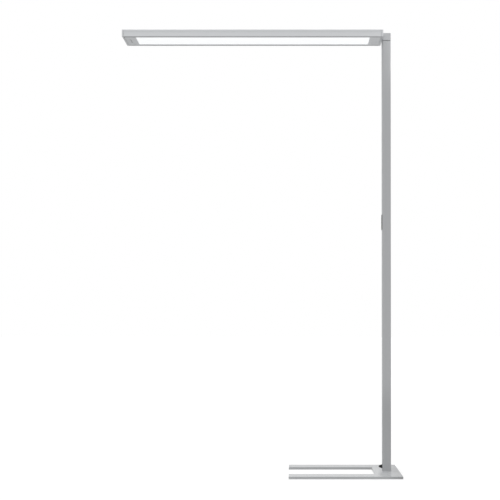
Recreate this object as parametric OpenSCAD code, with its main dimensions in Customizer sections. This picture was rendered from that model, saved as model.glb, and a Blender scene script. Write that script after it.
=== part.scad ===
// Office floor lamp: a long flat head carried at one end by a slim square mast
// on a low forked base plate. The origin is on the floor, on the mast's axis.
// +Z is up. The head and the base's two prongs reach toward -X, and -Y is the front.

/* [Overall] */
// Height from the floor to the top of the head
overall_h = 1960; // [1700:10:2200]
// Angle that the head turns each way from straight above the base
swing = 45; // [20:5:60]

/* [Base plate] */
// Length of the plate, from the prong tips to the edge of the heel
plate_l = 490; // [420:2:600]
// Depth of the plate, front edge to back edge
plate_d = 338; // [280:2:420]
// Thickness of the plate
plate_t = 10; // [8:1:14]
// Width of each prong
prong_w = 75; // [55:1:100]
// Length of the heel, from its outer edge to the gap between the prongs
heel_l = 113; // [95:1:160]
// Plate beyond the mast on the heel side
heel_reach = 36; // [25:1:55]
// Radius of the plate's outer corners
plate_r = 3; // [1:0.5:10]
// Radius of the two corners at the root of the gap
gap_r = 6; // [2:1:20]

/* [Pads under the plate] */
// Thickness of the pads
pad_t = 1.5; // [1:0.5:3]
// Distance of the heel pad from the plate's edges
pad_inset = 10; // [4:1:20]
// Radius of the heel pad's corners
pad_r = 5; // [1:1:10]
// Diameter of each round prong pad
prong_pad_dia = 30; // [15:1:50]
// Distance of the outer prong pad's centre from the prong tip
prong_pad_inset = 25; // [20:1:60]
// Distance between the two pads of one prong
prong_pad_pitch = 170; // [60:5:240]

/* [Mast] */
// Width of the square mast across its flats
mast_w = 38; // [38:0.5:50]
// Wall of the mast
mast_wall = 2.5; // [2:0.1:3]
// Radius of the mast's four long edges
mast_r = 4; // [3:0.5:6]
// Height of the foot block inside the bottom of the mast
foot_h = 60; // [45:1:120]
// Height of the bearing block inside the top of the mast
bearing_h = 50; // [40:1:80]
// Diameter of the upright cable passage in the foot block
foot_bore = 14; // [8:0.5:14]

/* [Base screws] */
// Shank diameter of the screws that hold the mast to the plate
base_screw_dia = 6; // [4:1:6]
// Head diameter of these screws
base_screw_head = 11.5; // [9:0.5:12]
// Length of these screws, head included
base_screw_l = 34; // [20:1:40]
// Distance between these screws, along both sides of their square
base_screw_pitch = 20; // [18:0.5:21]

/* [Mast screws] */
// Shank diameter of the screws in the back of the mast
mast_screw_dia = 5; // [3:0.5:5]
// Head diameter of these screws
mast_screw_head = 9; // [7:0.5:9.5]
// Length of these screws, head included
mast_screw_l = 10; // [8:0.5:10.5]
// Distance between the two screws of a pair
mast_screw_pitch = 16; // [12:1:24]

/* [Cable gland] */
// Height of the gland's axis above the plate
gland_h = 19; // [14:1:24]
// Diameter of the gland's cone where it meets the mast
gland_base_dia = 18.5; // [15:0.5:24]
// Diameter of the cone's tip
gland_tip_dia = 8.8; // [8:0.1:12]
// Length of the cone outside the mast
gland_reach = 15; // [10:1:30]
// Diameter of the gland's bore, for a cord 6.5 mm thick
gland_bore = 6.8; // [5:0.1:7]
// Diameter of the gland's shank, which passes into the foot block
gland_shank_dia = 12; // [10:0.5:13]
// Length of the shank
gland_shank_l = 11; // [7:0.5:12]
// Number of relief grooves round the cone
gland_grooves = 3; // [1:1:4]
// Width of each relief groove
gland_groove_w = 1.2; // [0.6:0.1:1.6]
// Depth of each relief groove
gland_groove_d = 0.6; // [0.2:0.1:0.8]

/* [Control panel] */
// Height of the panel's middle above the floor
panel_z = 1118; // [900:1:1300]
// Height of the panel's face
panel_h = 68; // [68:1:80]
// Width of the panel's face
panel_w = 28; // [27:0.5:30]
// How far the panel's face stands out from the mast
panel_proud = 1.5; // [1:0.1:3]
// Height of the panel's tub inside the mast
tub_h = 58; // [58:1:64]
// Width of the tub
tub_w = 24; // [23:0.5:25]
// Depth of the tub behind the mast's outer face
tub_deep = 10.5; // [10.5:0.1:11.5]
// Wall of the tub
tub_wall = 2; // [1.2:0.1:2.2]
// Thickness of the panel's front wall
panel_front_t = 2.5; // [2:0.1:3]
// Length of the end posts that carry the switch board
tub_post = 3; // [2.4:0.1:3]

/* [Buttons] */
// Height of a button's cap
button_h = 13; // [10:0.5:13]
// Width of a button's cap
button_w = 17; // [12:0.5:17]
// Distance between neighbouring buttons
button_pitch = 16; // [15.5:0.1:16.2]
// How far a button stands out of the panel at rest
button_proud = 0.9; // [0.9:0.1:2]
// Travel of a button
button_travel = 0.8; // [0.4:0.1:0.8]
// Rim behind a button's cap that keeps it in the panel
button_rim = 0.9; // [0.6:0.1:1.1]
// Thickness of that rim
button_rim_t = 1; // [0.8:0.1:1.2]
// Diameter of the stem that presses the switch
button_stem_dia = 4; // [2:0.5:5]

/* [Switch board] */
// Thickness of the circuit boards
board_t = 1.6; // [1:0.1:1.6]
// Side of a push switch's body
switch_w = 6; // [5:0.5:8]
// Height of a push switch's body
switch_h = 3; // [2:0.1:3]
// Diameter of the screws that hold the switch board
board_screw_dia = 1.6; // [1.2:0.1:2]
// Depth of these screws in the tub's posts
board_screw_deep = 4; // [3:0.5:5]
// Height of the plug behind the switch board
plug_h = 16; // [8:1:24]
// Width of that plug
plug_w = 12; // [8:0.5:14]

/* [Cables in the mast] */
// Diameter of the power cable
power_dia = 6; // [4:0.1:6]
// Diameter of the control cable
control_dia = 3.5; // [2:0.1:3.5]
// Clear space between the two cables
cable_space = 1.4; // [0.5:0.1:1.5]
// Height of the terminal block on the foot block
terminal_h = 26; // [16:1:40]
// Length and width of the terminal block
terminal_w = 22; // [18:0.5:26]

/* [Swivel] */
// Height of the open joint between mast and elbow, filled by the sliding washer
washer_t = 2.4; // [1.5:0.1:4]
// Diameter of the sliding washer
washer_dia = 26; // [20:0.5:30]
// Outer diameter of the hollow swivel shaft
shaft_dia = 16; // [16:0.1:16.4]
// Bore of the swivel shaft, for the two cables
shaft_bore = 12; // [11.6:0.1:12.4]
// Diameter of the shaft's flange inside the elbow
flange_dia = 25; // [25:0.5:27]
// Thickness of that flange
flange_t = 3; // [2.5:0.1:4]
// Circle of the screws in the flange
flange_screw_circle = 20.5; // [20.2:0.1:20.6]
// Shank diameter of the flange screws
flange_screw_dia = 2.5; // [2:0.1:2.6]
// Head diameter of the flange screws
flange_screw_head = 4; // [3.4:0.1:4.1]
// Length of the flange screws, head included
flange_screw_l = 7.5; // [5:0.5:8]
// Wall of the two bushes
bush_wall = 1.5; // [1:0.1:1.5]
// Length of each bush
bush_l = 12; // [8:1:15]
// Thickness of the lower thrust washer
thrust_t = 1.5; // [1:0.1:3]
// Outer diameter of the stop collar
collar_dia = 30; // [29:0.1:31]
// Height of the stop collar
collar_h = 12; // [11:1:20]
// Diameter of the stop pin
stop_pin_dia = 4; // [3:0.1:4]
// Distance of the stop pin from the mast's axis
stop_pin_at = 12.7; // [12.4:0.1:12.7]
// Length of the stop pin inside the bearing block
stop_pin_grip = 10; // [6:1:20]
// Length of the stop pin inside the collar's groove
stop_pin_reach = 5; // [3:0.5:5]
// Diameter of the collar's set screw
collar_screw_dia = 4; // [3:0.5:4]

/* [Elbow] */
// Height of the elbow block
elbow_h = 32.4; // [32:0.1:45]
// Wall of the elbow
elbow_wall = 3; // [2:0.1:3]
// Wall of the elbow where the head is bolted to it
elbow_joint_wall = 5; // [4:0.1:5.5]
// Floor of the elbow
elbow_floor = 6; // [5:0.1:8]
// Thickness of the elbow's lid
lid_t = 2; // [1:0.1:3]
// Width of the step that the lid lies on
lid_step = 1.5; // [0.8:0.1:1.8]
// Length of the connector in the elbow
connector_l = 20; // [14:0.5:20]
// Width of the connector
connector_w = 18; // [14:0.5:22]
// Height of the connector
connector_h = 14; // [13:0.5:18]

/* [Head] */
// Length of the head
head_l = 1150; // [900:5:1400]
// Depth of the head, front face to back face
head_d = 140; // [130:1:180]
// Thickness of the head
head_t = 31; // [30:0.5:40]
// Radius of the head's long edges
head_r = 1.5; // [0.5:0.1:2]
// Width of the rims under the head, beside the diffuser
rim_w = 16; // [12:0.5:25]
// Thickness of these rims
rim_t = 3; // [2:0.1:4]
// Wall of the head's front and back
side_t = 2.5; // [2:0.1:3.5]
// Thickness of the floor between the two light chambers
web_t = 2; // [1.5:0.1:3]
// Height of the fine groove along the front and back faces
side_groove_h = 1.2; // [0.6:0.1:2]
// Depth of that groove
side_groove_d = 0.8; // [0.3:0.1:1.2]
// Distance of that groove below the top of the head
side_groove_at = 12; // [8:0.5:14]
// Length from each end of the head to the lit opening
end_zone = 58; // [50:1:80]
// Width of the ledges that carry the covers
ledge_w = 4; // [2:0.5:6]
// Thickness of these ledges
ledge_t = 2; // [1:0.1:2.5]
// Outer size of the screw channels in the profile
channel_w = 6; // [5:0.5:7]

/* [End caps and end plates] */
// Thickness of an end cap
cap_t = 9; // [6:0.5:12]
// Width of the shadow line between cap and profile
seam_w = 1; // [0.5:0.1:2]
// Depth of the shadow line
seam_d = 1; // [0.5:0.1:2]
// Length of the cap's tongues inside the profile
tongue_l = 5; // [3:0.5:8]
// Diameter of the cap screws
cap_screw_dia = 3; // [2:0.5:3]
// Head diameter of the cap screws
cap_screw_head = 5.6; // [5:0.1:6]
// Length of the cap screws, head included
cap_screw_l = 20; // [16:1:30]
// Thickness of the end plates' upper flange
plate_flange_t = 1.5; // [1:0.1:2]
// Length of the step that carries the ends of the diffuser
sheet_rest = 4; // [2:0.5:6]

/* [Direct light] */
// Thickness of the diffuser
diffuser_t = 2; // [1.5:0.1:3]
// Thickness of the light guide
guide_t = 3; // [2.6:0.1:4]
// Thickness of the reflector sheet
reflector_t = 0.5; // [0.2:0.1:1]
// Height of the edge light strips
strip_h = 5; // [4.4:0.1:5.2]
// Thickness of the edge light strips
strip_t = 1; // [0.6:0.1:1.6]
// Distance between neighbouring light-emitting diodes
led_pitch = 25; // [15:1:50]
// Side of a diode
led_w = 2.2; // [1.5:0.1:2.4]
// Height of a diode above its board
led_t = 0.8; // [0.5:0.1:1.2]

/* [Indirect light and driver] */
// Thickness of the covers on top of the head
cover_t = 2; // [1.5:0.1:3]
// Length of the driver bay beside the mast
bay_l = 422; // [420:1:520]
// Width of each upper light board
upper_board_w = 18; // [10:1:24]
// Distance of each upper light board from the head's middle
upper_board_y = 30; // [20:1:34]
// Distance of the upper light boards from the cap and from the driver bay
upper_board_inset = 12; // [8:1:40]
// Length of the driver's case
driver_l = 344; // [300:1:346]
// Width of the driver's case
driver_w = 38; // [30:1:42]
// Height of the driver's case
driver_h = 15; // [12:0.5:15]
// Length of the driver's mounting tabs
driver_tab = 10; // [8:0.5:12]
// Thickness of these tabs
driver_tab_t = 2; // [1:0.1:2.5]
// Distance of the driver's screws from the head's middle
driver_screw_y = 12; // [10:0.5:13]

/* [Sensor] */
// Length of the sensor window along the head
sensor_l = 17; // [12:0.5:20]
// Width of the sensor window across the head
sensor_w = 55; // [30:1:70]
// Distance of the window's middle from the end of the head
sensor_at = 27; // [26:0.5:30]
// Width of the dark lens bar in the window
lens_l = 3.5; // [2:0.1:5]
// Length of the lens bar across the head
lens_w = 42; // [20:1:42]
// Offset of the lens bar from the window's middle
lens_off = 3.5; // [0:0.1:4]

/* [Head bracket] */
// Length of the bracket's base inside the head
bracket_l = 52; // [46:1:54]
// Width of the bracket
bracket_w = 60; // [54:1:70]
// Thickness of the bracket
bracket_t = 3; // [2:0.1:4]
// Thickness of the bracket's two gussets
gusset_t = 3; // [2:0.1:4]
// Diameter of the bracket's bolts and screws
bolt_dia = 4; // [3:0.5:4]
// Head diameter of the bolts and screws
bolt_head = 7; // [5:0.1:7]
// Head height of the bolts and screws
bolt_head_h = 2.6; // [1.5:0.1:2.8]
// Height of the lower bolts above the bracket's base
bolt_low = 3.7; // [3.6:0.1:4]
// Height between the lower and the upper bolts
bolt_rise = 7.2; // [7.1:0.1:7.5]
// Distance of the bolts from the head's middle
bolt_y = 11; // [10.8:0.1:11.5]
// Distance of the base screws from the head's middle
base_bolt_y = 20; // [18:0.5:22]
// Distance between the two rows of base screws
base_bolt_pitch = 20; // [16:1:24]
// Height of the lead to the driver above the bracket's base
lead_h = 3.3; // [3.1:0.1:4]
// Diameter of the thin leads in the head
wire_dia = 1.6; // [1:0.1:2]

/* [Clearances] */
// Gap round a block or tub that slides into another piece
slip = 0.1; // [0.05:0.01:0.2]
// Gap between a screw or pin and its hole
screw_gap = 0.05; // [0.03:0.01:0.1]
// Gap between a turning shaft and its bush
run_gap = 0.05; // [0.03:0.01:0.08]
// Gap round sheets, covers and windows
loose = 0.2; // [0.1:0.05:0.4]
// Gap round a button's cap
button_gap = 0.25; // [0.15:0.05:0.4]

/* [Hidden] */
$fn = 64;
tiny = 0.01;   // overshoot of cuts, so that no skin is left
eps = 1;       // overshoot of cuts through a whole wall

// Base plate: floor side, top, and edges
plate_z0 = pad_t;
plate_z1 = pad_t + plate_t;
heel_x = mast_w / 2 + heel_reach;
tip_x = heel_x - plate_l;
gap_x = heel_x - heel_l;
gap_d = plate_d - 2 * prong_w;
prong_y = (plate_d - prong_w) / 2;

// Heights of the joint between mast and elbow
elbow_z0 = overall_h - elbow_h;
mast_top = elbow_z0 - washer_t;
bearing_z0 = mast_top - bearing_h;
foot_top = plate_z1 + foot_h;

// Inside of the mast
mast_in = mast_w - 2 * mast_wall;
mast_in_r = max(mast_r - mast_wall, 0.5);
plug_side = mast_in - 2 * slip;

// Ends of the head, its profile and the driver bay
head_x1 = -mast_w / 2;
head_x0 = head_x1 - head_l;
head_z0 = overall_h - head_t;
profile_x0 = head_x0 + cap_t;
profile_x1 = head_x1 - cap_t;
bay_x0 = profile_x1 - bay_l;

// Layers of the head, bottom to top
rim_z1 = head_z0 + rim_t;
guide_z0 = rim_z1 + diffuser_t;
reflector_z0 = guide_z0 + guide_t;
web_z0 = reflector_z0 + reflector_t;
web_z1 = web_z0 + web_t;
cover_z0 = overall_h - cover_t;
inner_y = head_d / 2 - side_t;
rim_y = head_d / 2 - rim_w;

// Sheets of the direct light
sheet_x0 = head_x0 + end_zone - sheet_rest;
sheet_x1 = head_x1 - end_zone + sheet_rest;
sheet_y = inner_y - strip_t - led_t - loose;

// Gland
gland_z = plate_z1 + gland_h;
cord_room = 1;                 // how much wider the cord's way is in the foot block
gland_skin = 0.4;              // least wall left under a relief groove

// Panel: planes measured along X from the mast's axis
panel_x = -mast_w / 2 - panel_proud;
panel_back = panel_x + panel_front_t;
tub_x1 = -mast_w / 2 + tub_deep;
board_x1 = tub_x1 - loose;
board_x0 = board_x1 - board_t;
switch_x0 = board_x0 - switch_h;
rim_x0 = panel_back + slip;
rim_x1 = rim_x0 + button_rim_t;
post_z = tub_h / 2 - tub_wall - tub_post / 2;
panel_r = 1.5;                 // radius of the panel's corners
button_r = 1;                  // radius of a button's corners

// Cables: the power cable runs right of the axis, the control cable left of it
cables_w = power_dia + control_dia + cable_space;
power_x = cables_w / 2 - power_dia / 2;
control_x = -cables_w / 2 + control_dia / 2;
plug_x1 = control_x + control_dia / 2 + slip;
terminal_z1 = foot_top + terminal_h;

// Swivel
bush_dia = shaft_dia + 2 * run_gap + 2 * bush_wall;
bearing_room = 0.5;            // clear space round the shaft between the bushes
bearing_bore = shaft_dia + 2 * bearing_room;
elbow_z1 = elbow_z0 + elbow_floor;
flange_z1 = elbow_z1 + flange_t;
collar_z1 = bearing_z0 - thrust_t;
collar_z0 = collar_z1 - collar_h;
thrust_dia = 2 * stop_pin_at - stop_pin_dia - 2 * loose;
groove_in = stop_pin_at - stop_pin_dia / 2 - loose;
groove_h = stop_pin_reach + thrust_t;
stop_half = swing + asin((stop_pin_dia / 2 + loose) / stop_pin_at);
cable_stub = 1;                // length of the cables inside the connector
cable_end_z = flange_z1 + cable_stub;

// Elbow cavity
cavity_x0 = -mast_w / 2 + elbow_joint_wall;
cavity_x1 = mast_w / 2 - elbow_wall;

// Bracket, driver and leads
bracket_z1 = web_z1 + bracket_t;
lead_z = bracket_z1 + lead_h;
lead_room_y = 2;               // room beside the lead in its window
lead_room_z = 0.8;             // room above and below the lead in its window
driver_gap = 6;                // space between the bracket and the driver's tab
driver_x1 = profile_x1 - bracket_l - driver_gap - driver_tab;
driver_x0 = driver_x1 - driver_l;
base_bolt_at = 13;             // from the bracket's upright to the first row of base screws
base_bolt_x = profile_x1 - bracket_t - base_bolt_at;
lead_hole_at = 24;             // from the profile's right end to the holes for the thin leads
lead_hole_in = 9;              // from the profile's inner side to these holes
lead_hole_x = profile_x1 - lead_hole_at;
lead_hole_y = inner_y - lead_hole_in;
lead_hole_dia = 2.5 * wire_dia;
upper_board_x0 = profile_x0 + upper_board_inset;
upper_board_x1 = bay_x0 - upper_board_inset;

// Sensor
sensor_x = head_x0 + sensor_at;
sensor_lip = 1;                // width of the window's hidden upper rim
sensor_lip_t = 1;              // thickness of that rim
sensor_board_t = 1;            // thickness of the sensor's circuit board
sensor_lead_in = 14;           // from the profile's inner side to the sensor's lead
sensor_lead_y = -inner_y + sensor_lead_in;

// A rectangle with four round corners, centred on the origin
module rounded(w, d, r) {
    square([w - 2 * r, d], center = true);
    square([w, d - 2 * r], center = true);
    for (sx = [-1, 1])
        for (sy = [-1, 1])
            translate([sx * (w / 2 - r), sy * (d / 2 - r)])
                circle(r = r);
}

// A block with four round upright edges, from z0 up to z1
module block(w, d, r, z0, z1) {
    translate([0, 0, z0])
        linear_extrude(height = z1 - z0)
            rounded(w, d, r);
}

// A plain box between two corners
module span(a, b) {
    translate(a)
        cube(b - a);
}

// An outline in Y and Z, drawn out along X from x0 to x1
module along_x(x0, x1) {
    translate([x0, 0, 0])
        rotate([90, 0, 90])
            linear_extrude(height = x1 - x0)
                children();
}

// A rod along X
module rod_x(x0, x1, dia, y, z) {
    translate([x0, y, z])
        rotate([0, 90, 0])
            cylinder(h = x1 - x0, d = dia);
}

// A ring standing on z0
module ring(outer, inner, z0, z1) {
    difference() {
        translate([0, 0, z0])
            cylinder(h = z1 - z0, d = outer);
        translate([0, 0, z0 - eps])
            cylinder(h = z1 - z0 + 2 * eps, d = inner);
    }
}

// A countersunk screw pointing down, with its head's face at z = 0
module sunk_screw(dia, head, l) {
    cone = (head - dia) / 2;
    socket_deep = cone * 0.8;
    socket_dia = dia * 0.75;
    difference() {
        union() {
            translate([0, 0, -cone])
                cylinder(h = cone, d1 = dia, d2 = head);
            translate([0, 0, -l])
                cylinder(h = l, d = dia);
        }
        translate([0, 0, -socket_deep])
            cylinder(h = cone, d = socket_dia, $fn = 6);
    }
}

// The hole for such a screw, with its gap all round
module sunk_hole(dia, head, l) {
    cone = (head - dia) / 2;
    translate([0, 0, -cone])
        cylinder(h = cone, d1 = dia + 2 * screw_gap, d2 = head + 2 * screw_gap);
    translate([0, 0, -tiny])
        cylinder(h = eps, d = head + 2 * screw_gap);
    translate([0, 0, -l - screw_gap])
        cylinder(h = l, d = dia + 2 * screw_gap);
}

// A screw with a low round head on z = 0 and its shank below
module head_screw(dia, head, head_h, l) {
    socket_deep = head_h * 0.55;
    socket_dia = dia * 0.7;
    difference() {
        union() {
            cylinder(h = head_h, d = head);
            translate([0, 0, -l])
                cylinder(h = l + tiny, d = dia);
        }
        translate([0, 0, head_h - socket_deep])
            cylinder(h = head_h, d = socket_dia, $fn = 6);
    }
}

// A thin lead through the listed points, with a small round bead at each bend
module lead(points, dia) {
    bead_extra = 0.16; // how much thicker a bead is than its lead
    sides = 24;        // flat sides round a lead
    bead = dia + bead_extra;
    for (i = [0 : len(points) - 2]) {
        step = points[i + 1] - points[i];
        run = norm(step);
        translate(points[i])
            rotate([0, acos(step[2] / run), atan2(step[1], step[0])])
                cylinder(h = run, d = dia, $fn = sides);
        if (i > 0)
            translate(points[i])
                sphere(d = bead, $fn = sides);
    }
}

// Puts a piece drawn for the right end of the head, inward along -X, at either end
module at_end(right) {
    if (right)
        translate([head_x1, 0, 0])
            children();
    else
        translate([head_x0, 0, 0])
            mirror([1, 0, 0])
                children();
}

// ---- Base ----

// Places the four screws that hold the foot block to the plate
module at_base_screws() {
    for (sx = [-1, 1])
        for (sy = [-1, 1])
            translate([sx, sy, 0] * base_screw_pitch / 2 + [0, 0, plate_z0])
                rotate([180, 0, 0])
                    children();
}

// Forked steel plate: heel under the mast, two prongs toward -X
module base_plate() {
    color("silver")
        difference() {
            translate([(heel_x + tip_x) / 2, 0, plate_z0])
                linear_extrude(height = plate_t)
                    rounded(plate_l, plate_d, plate_r);
            translate([gap_x - plate_l / 2, 0, plate_z0 - eps])
                linear_extrude(height = plate_t + 2 * eps)
                    rounded(plate_l, gap_d, gap_r);
            at_base_screws()
                sunk_hole(base_screw_dia, base_screw_head, base_screw_l);
        }
}

// Long pad under the heel; the lamp's origin is on its underside
module heel_pad() {
    pad_l = heel_l - 2 * pad_inset;
    color("dimgray")
        translate([heel_x - heel_l / 2, 0, 0])
            linear_extrude(height = pad_t)
                rounded(pad_l, plate_d - 2 * pad_inset, pad_r);
}

// Four round pads, two under each prong
module prong_pads() {
    color("dimgray")
        for (sy = [-1, 1])
            for (i = [0, 1])
                translate([tip_x + prong_pad_inset + i * prong_pad_pitch, sy * prong_y, 0])
                    cylinder(h = pad_t, d = prong_pad_dia);
}

module base_screws() {
    color("slategray")
        at_base_screws()
            sunk_screw(base_screw_dia, base_screw_head, base_screw_l);
}

// ---- Mast ----

// Places the screws in the back of the mast: two in the foot block, two in the bearing block
module at_mast_screws() {
    foot_mid = plate_z1 + foot_h / 2;
    bearing_mid = mast_top - bearing_h / 2;
    for (z = [foot_mid, bearing_mid])
        for (i = [-1, 1])
            translate([0, mast_w / 2, z + i * mast_screw_pitch / 2])
                rotate([-90, 0, 0])
                    children();
}

// Block inside the bottom of the mast, with the cable's way from the gland upward
module mast_foot() {
    color("gray")
        difference() {
            block(plug_side, plug_side, mast_in_r, plate_z1, foot_top);
            translate([0, 0, gland_z - foot_bore / 2])
                cylinder(h = foot_h, d = foot_bore);
            rod_x(-mast_w / 2, -mast_w / 2 + gland_shank_l + screw_gap,
                gland_shank_dia + 2 * screw_gap, 0, gland_z);
            rod_x(-mast_w / 2, 0, gland_bore + cord_room, 0, gland_z);
            at_base_screws()
                sunk_hole(base_screw_dia, base_screw_head, base_screw_l);
            at_mast_screws()
                sunk_hole(mast_screw_dia, mast_screw_head, mast_screw_l);
        }
}

// Square tube with round edges, a window for the panel and a hole for the gland
module mast() {
    opening_h = tub_h + 2 * loose;
    opening_w = tub_w + 2 * loose;
    color("darkgray")
        difference() {
            block(mast_w, mast_w, mast_r, plate_z1, mast_top);
            block(mast_in, mast_in, mast_in_r, plate_z1 - eps, mast_top + eps);
            span([-mast_w / 2 - eps, -opening_w / 2, panel_z - opening_h / 2],
                [-mast_in / 2 + eps, opening_w / 2, panel_z + opening_h / 2]);
            rod_x(-mast_w / 2 - eps, -mast_in / 2 + eps,
                gland_shank_dia + 2 * screw_gap, 0, gland_z);
            at_mast_screws()
                sunk_hole(mast_screw_dia, mast_screw_head, mast_screw_l);
        }
}

module mast_screws() {
    color("slategray")
        at_mast_screws()
            sunk_screw(mast_screw_dia, mast_screw_head, mast_screw_l);
}

// Radius of the gland's cone at a share of its length, 0 at the mast and 1 at the tip
function cone_r(share) = (gland_base_dia + share * (gland_tip_dia - gland_base_dia)) / 2;

// Bend relief on the mast's left face, grooved round, with its shank in the foot block
module cable_gland() {
    step = gland_reach / (gland_grooves + 1);
    color([0.08, 0.08, 0.09])
        translate([-mast_w / 2, 0, gland_z])
            rotate([0, -90, 0])
                difference() {
                    union() {
                        cylinder(h = gland_reach, d1 = gland_base_dia, d2 = gland_tip_dia);
                        translate([0, 0, -gland_shank_l])
                            cylinder(h = gland_shank_l + tiny, d = gland_shank_dia);
                    }
                    translate([0, 0, -gland_shank_l - eps])
                        cylinder(h = gland_shank_l + gland_reach + 2 * eps, d = gland_bore);
                    for (i = [1 : gland_grooves]) {
                        floor_r = cone_r(i * step / gland_reach) - gland_groove_d;
                        if (floor_r > gland_bore / 2 + gland_skin)
                            translate([0, 0, i * step - gland_groove_w / 2])
                                ring(gland_base_dia + eps, 2 * floor_r, 0, gland_groove_w);
                    }
                }
}

// Joins the supply cord's wires to the mast's cable
module terminal_block() {
    depth = terminal_w * 0.7;
    screw_pitch = terminal_w * 0.3;
    screw_dia = terminal_w * 0.15;
    color("ivory")
        difference() {
            span([-terminal_w / 2, -depth / 2, foot_top], [terminal_w / 2, depth / 2, terminal_z1]);
            for (i = [-1, 0, 1])
                translate([i * screw_pitch, -depth / 2 - eps, foot_top + terminal_h / 2])
                    rotate([-90, 0, 0])
                        cylinder(h = depth / 2, d = screw_dia);
        }
}

// Power cable, from the terminal block up through the swivel shaft
module mast_cable() {
    color("whitesmoke")
        translate([power_x, 0, terminal_z1])
            cylinder(h = cable_end_z - terminal_z1, d = power_dia);
}

// Control cable, from the plug behind the buttons up through the swivel shaft
module control_cable() {
    z0 = panel_z + plug_h / 2;
    color("gainsboro")
        translate([control_x, 0, z0])
            cylinder(h = cable_end_z - z0, d = control_dia);
}

// ---- Control panel ----

// Moulded face with a tub behind it, clipped into the mast's window
module panel_housing() {
    hook = 0.9;        // how far the clips grip behind the mast's wall
    hook_l = 2.4;      // length of the clips along the tub
    hook_w = 10;       // width of the clips
    clip_x = -mast_in / 2 + slip;
    inner_h = tub_h - 2 * tub_wall;
    inner_w = tub_w - 2 * tub_wall;
    color([0.16, 0.17, 0.18])
        difference() {
            union() {
                along_x(panel_x, -mast_w / 2)
                    translate([0, panel_z])
                        rounded(panel_w, panel_h, panel_r);
                span([-mast_w / 2 - tiny, -tub_w / 2, panel_z - tub_h / 2],
                    [tub_x1, tub_w / 2, panel_z + tub_h / 2]);
                for (s = [-1, 1])
                    translate([0, hook_w / 2, panel_z + s * tub_h / 2])
                        rotate([90, 0, 0])
                            linear_extrude(height = hook_w)
                                polygon([
                                    [clip_x, -s * tiny],
                                    [clip_x, s * hook],
                                    [clip_x + hook_l, -s * tiny]
                                ]);
            }
            span([panel_back, -inner_w / 2, panel_z - inner_h / 2 + tub_post],
                [board_x0, inner_w / 2, panel_z + inner_h / 2 - tub_post]);
            span([board_x0 - tiny, -inner_w / 2, panel_z - inner_h / 2],
                [tub_x1 + eps, inner_w / 2, panel_z + inner_h / 2]);
            for (i = [-1, 0, 1])
                translate([0, 0, i * button_pitch])
                    span([panel_x - eps, -button_w / 2 - button_gap,
                            panel_z - button_h / 2 - button_gap],
                        [panel_back + tiny, button_w / 2 + button_gap,
                            panel_z + button_h / 2 + button_gap]);
            for (s = [-1, 1])
                rod_x(board_x0 - board_screw_deep - screw_gap, board_x1,
                    board_screw_dia + 2 * screw_gap, 0, panel_z + s * post_z);
        }
}

// A button: cap with its mark, retaining rim and stem
module button(place) {
    mid = panel_z + place * button_pitch;
    stem_x1 = switch_x0 - button_travel - loose;
    color([0.24, 0.25, 0.26]) {
        difference() {
            union() {
                along_x(panel_x - button_proud, rim_x0 + tiny)
                    translate([0, mid])
                        rounded(button_w, button_h, button_r);
                along_x(rim_x0, rim_x1)
                    translate([0, mid])
                        rounded(button_w + 2 * button_rim, button_h + 2 * button_rim, button_r);
                rod_x(rim_x1 - tiny, stem_x1, button_stem_dia, 0, mid);
            }
            translate([panel_x - button_proud, 0, mid])
                button_mark(place);
        }
    }
}

// Mark cut 0.3 mm into a button's face: plus, minus, or an upright bar
module button_mark(place) {
    mark = 6;          // length of the mark's bars
    bar = 1;           // width of the mark's bars
    deep = 0.3;        // depth of the mark
    if (place != 0)
        span([-eps, -mark / 2, -bar / 2], [deep, mark / 2, bar / 2]);
    if (place != -1)
        span([-eps, -bar / 2, -mark / 2], [deep, bar / 2, mark / 2]);
}

module button_up() { button(1); }

module button_power() { button(0); }

module button_down() { button(-1); }

// Circuit board with three push switches, seated on the tub's two posts
module switch_board() {
    h = tub_h - 2 * tub_wall - 2 * loose;
    w = tub_w - 2 * tub_wall - 2 * loose;
    color("seagreen")
        difference() {
            union() {
                span([board_x0, -w / 2, panel_z - h / 2], [board_x1, w / 2, panel_z + h / 2]);
                for (i = [-1, 0, 1])
                    translate([switch_x0, -switch_w / 2, panel_z + i * button_pitch - switch_w / 2])
                        cube([switch_h + tiny, switch_w, switch_w]);
            }
            for (s = [-1, 1])
                rod_x(board_x0 - eps, board_x1 + eps,
                    board_screw_dia + 2 * screw_gap, 0, panel_z + s * post_z);
        }
}

module board_screws() {
    head = board_screw_dia * 1.9;
    head_h = board_screw_dia * 0.6;
    color("slategray")
        for (s = [-1, 1])
            translate([board_x1, 0, panel_z + s * post_z])
                rotate([0, 90, 0])
                    head_screw(board_screw_dia, head, head_h, board_t + board_screw_deep);
}

// Plug on the back of the switch board, with the control cable out of its top
module board_plug() {
    color("ivory")
        span([board_x1, -plug_w / 2, panel_z - plug_h / 2], [plug_x1, plug_w / 2, panel_z + plug_h / 2]);
}

// ---- Swivel ----

// Block inside the top of the mast that holds both bushes and the stop pin
module bearing_block() {
    color("gray")
        difference() {
            block(plug_side, plug_side, mast_in_r, bearing_z0, mast_top);
            translate([0, 0, bearing_z0 - eps])
                cylinder(h = bearing_h + 2 * eps, d = bearing_bore);
            translate([0, 0, mast_top - bush_l])
                cylinder(h = bush_l + eps, d = bush_dia + 2 * screw_gap);
            translate([0, 0, bearing_z0 - eps])
                cylinder(h = bush_l + eps, d = bush_dia + 2 * screw_gap);
            translate([0, stop_pin_at, bearing_z0 - eps])
                cylinder(h = stop_pin_grip + eps + screw_gap, d = stop_pin_dia + 2 * screw_gap);
            at_mast_screws()
                sunk_hole(mast_screw_dia, mast_screw_head, mast_screw_l);
        }
}

module bush(z0) {
    color("goldenrod")
        ring(bush_dia, shaft_dia + 2 * run_gap, z0, z0 + bush_l);
}

module upper_bush() { bush(mast_top - bush_l); }

module lower_bush() { bush(bearing_z0); }

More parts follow.
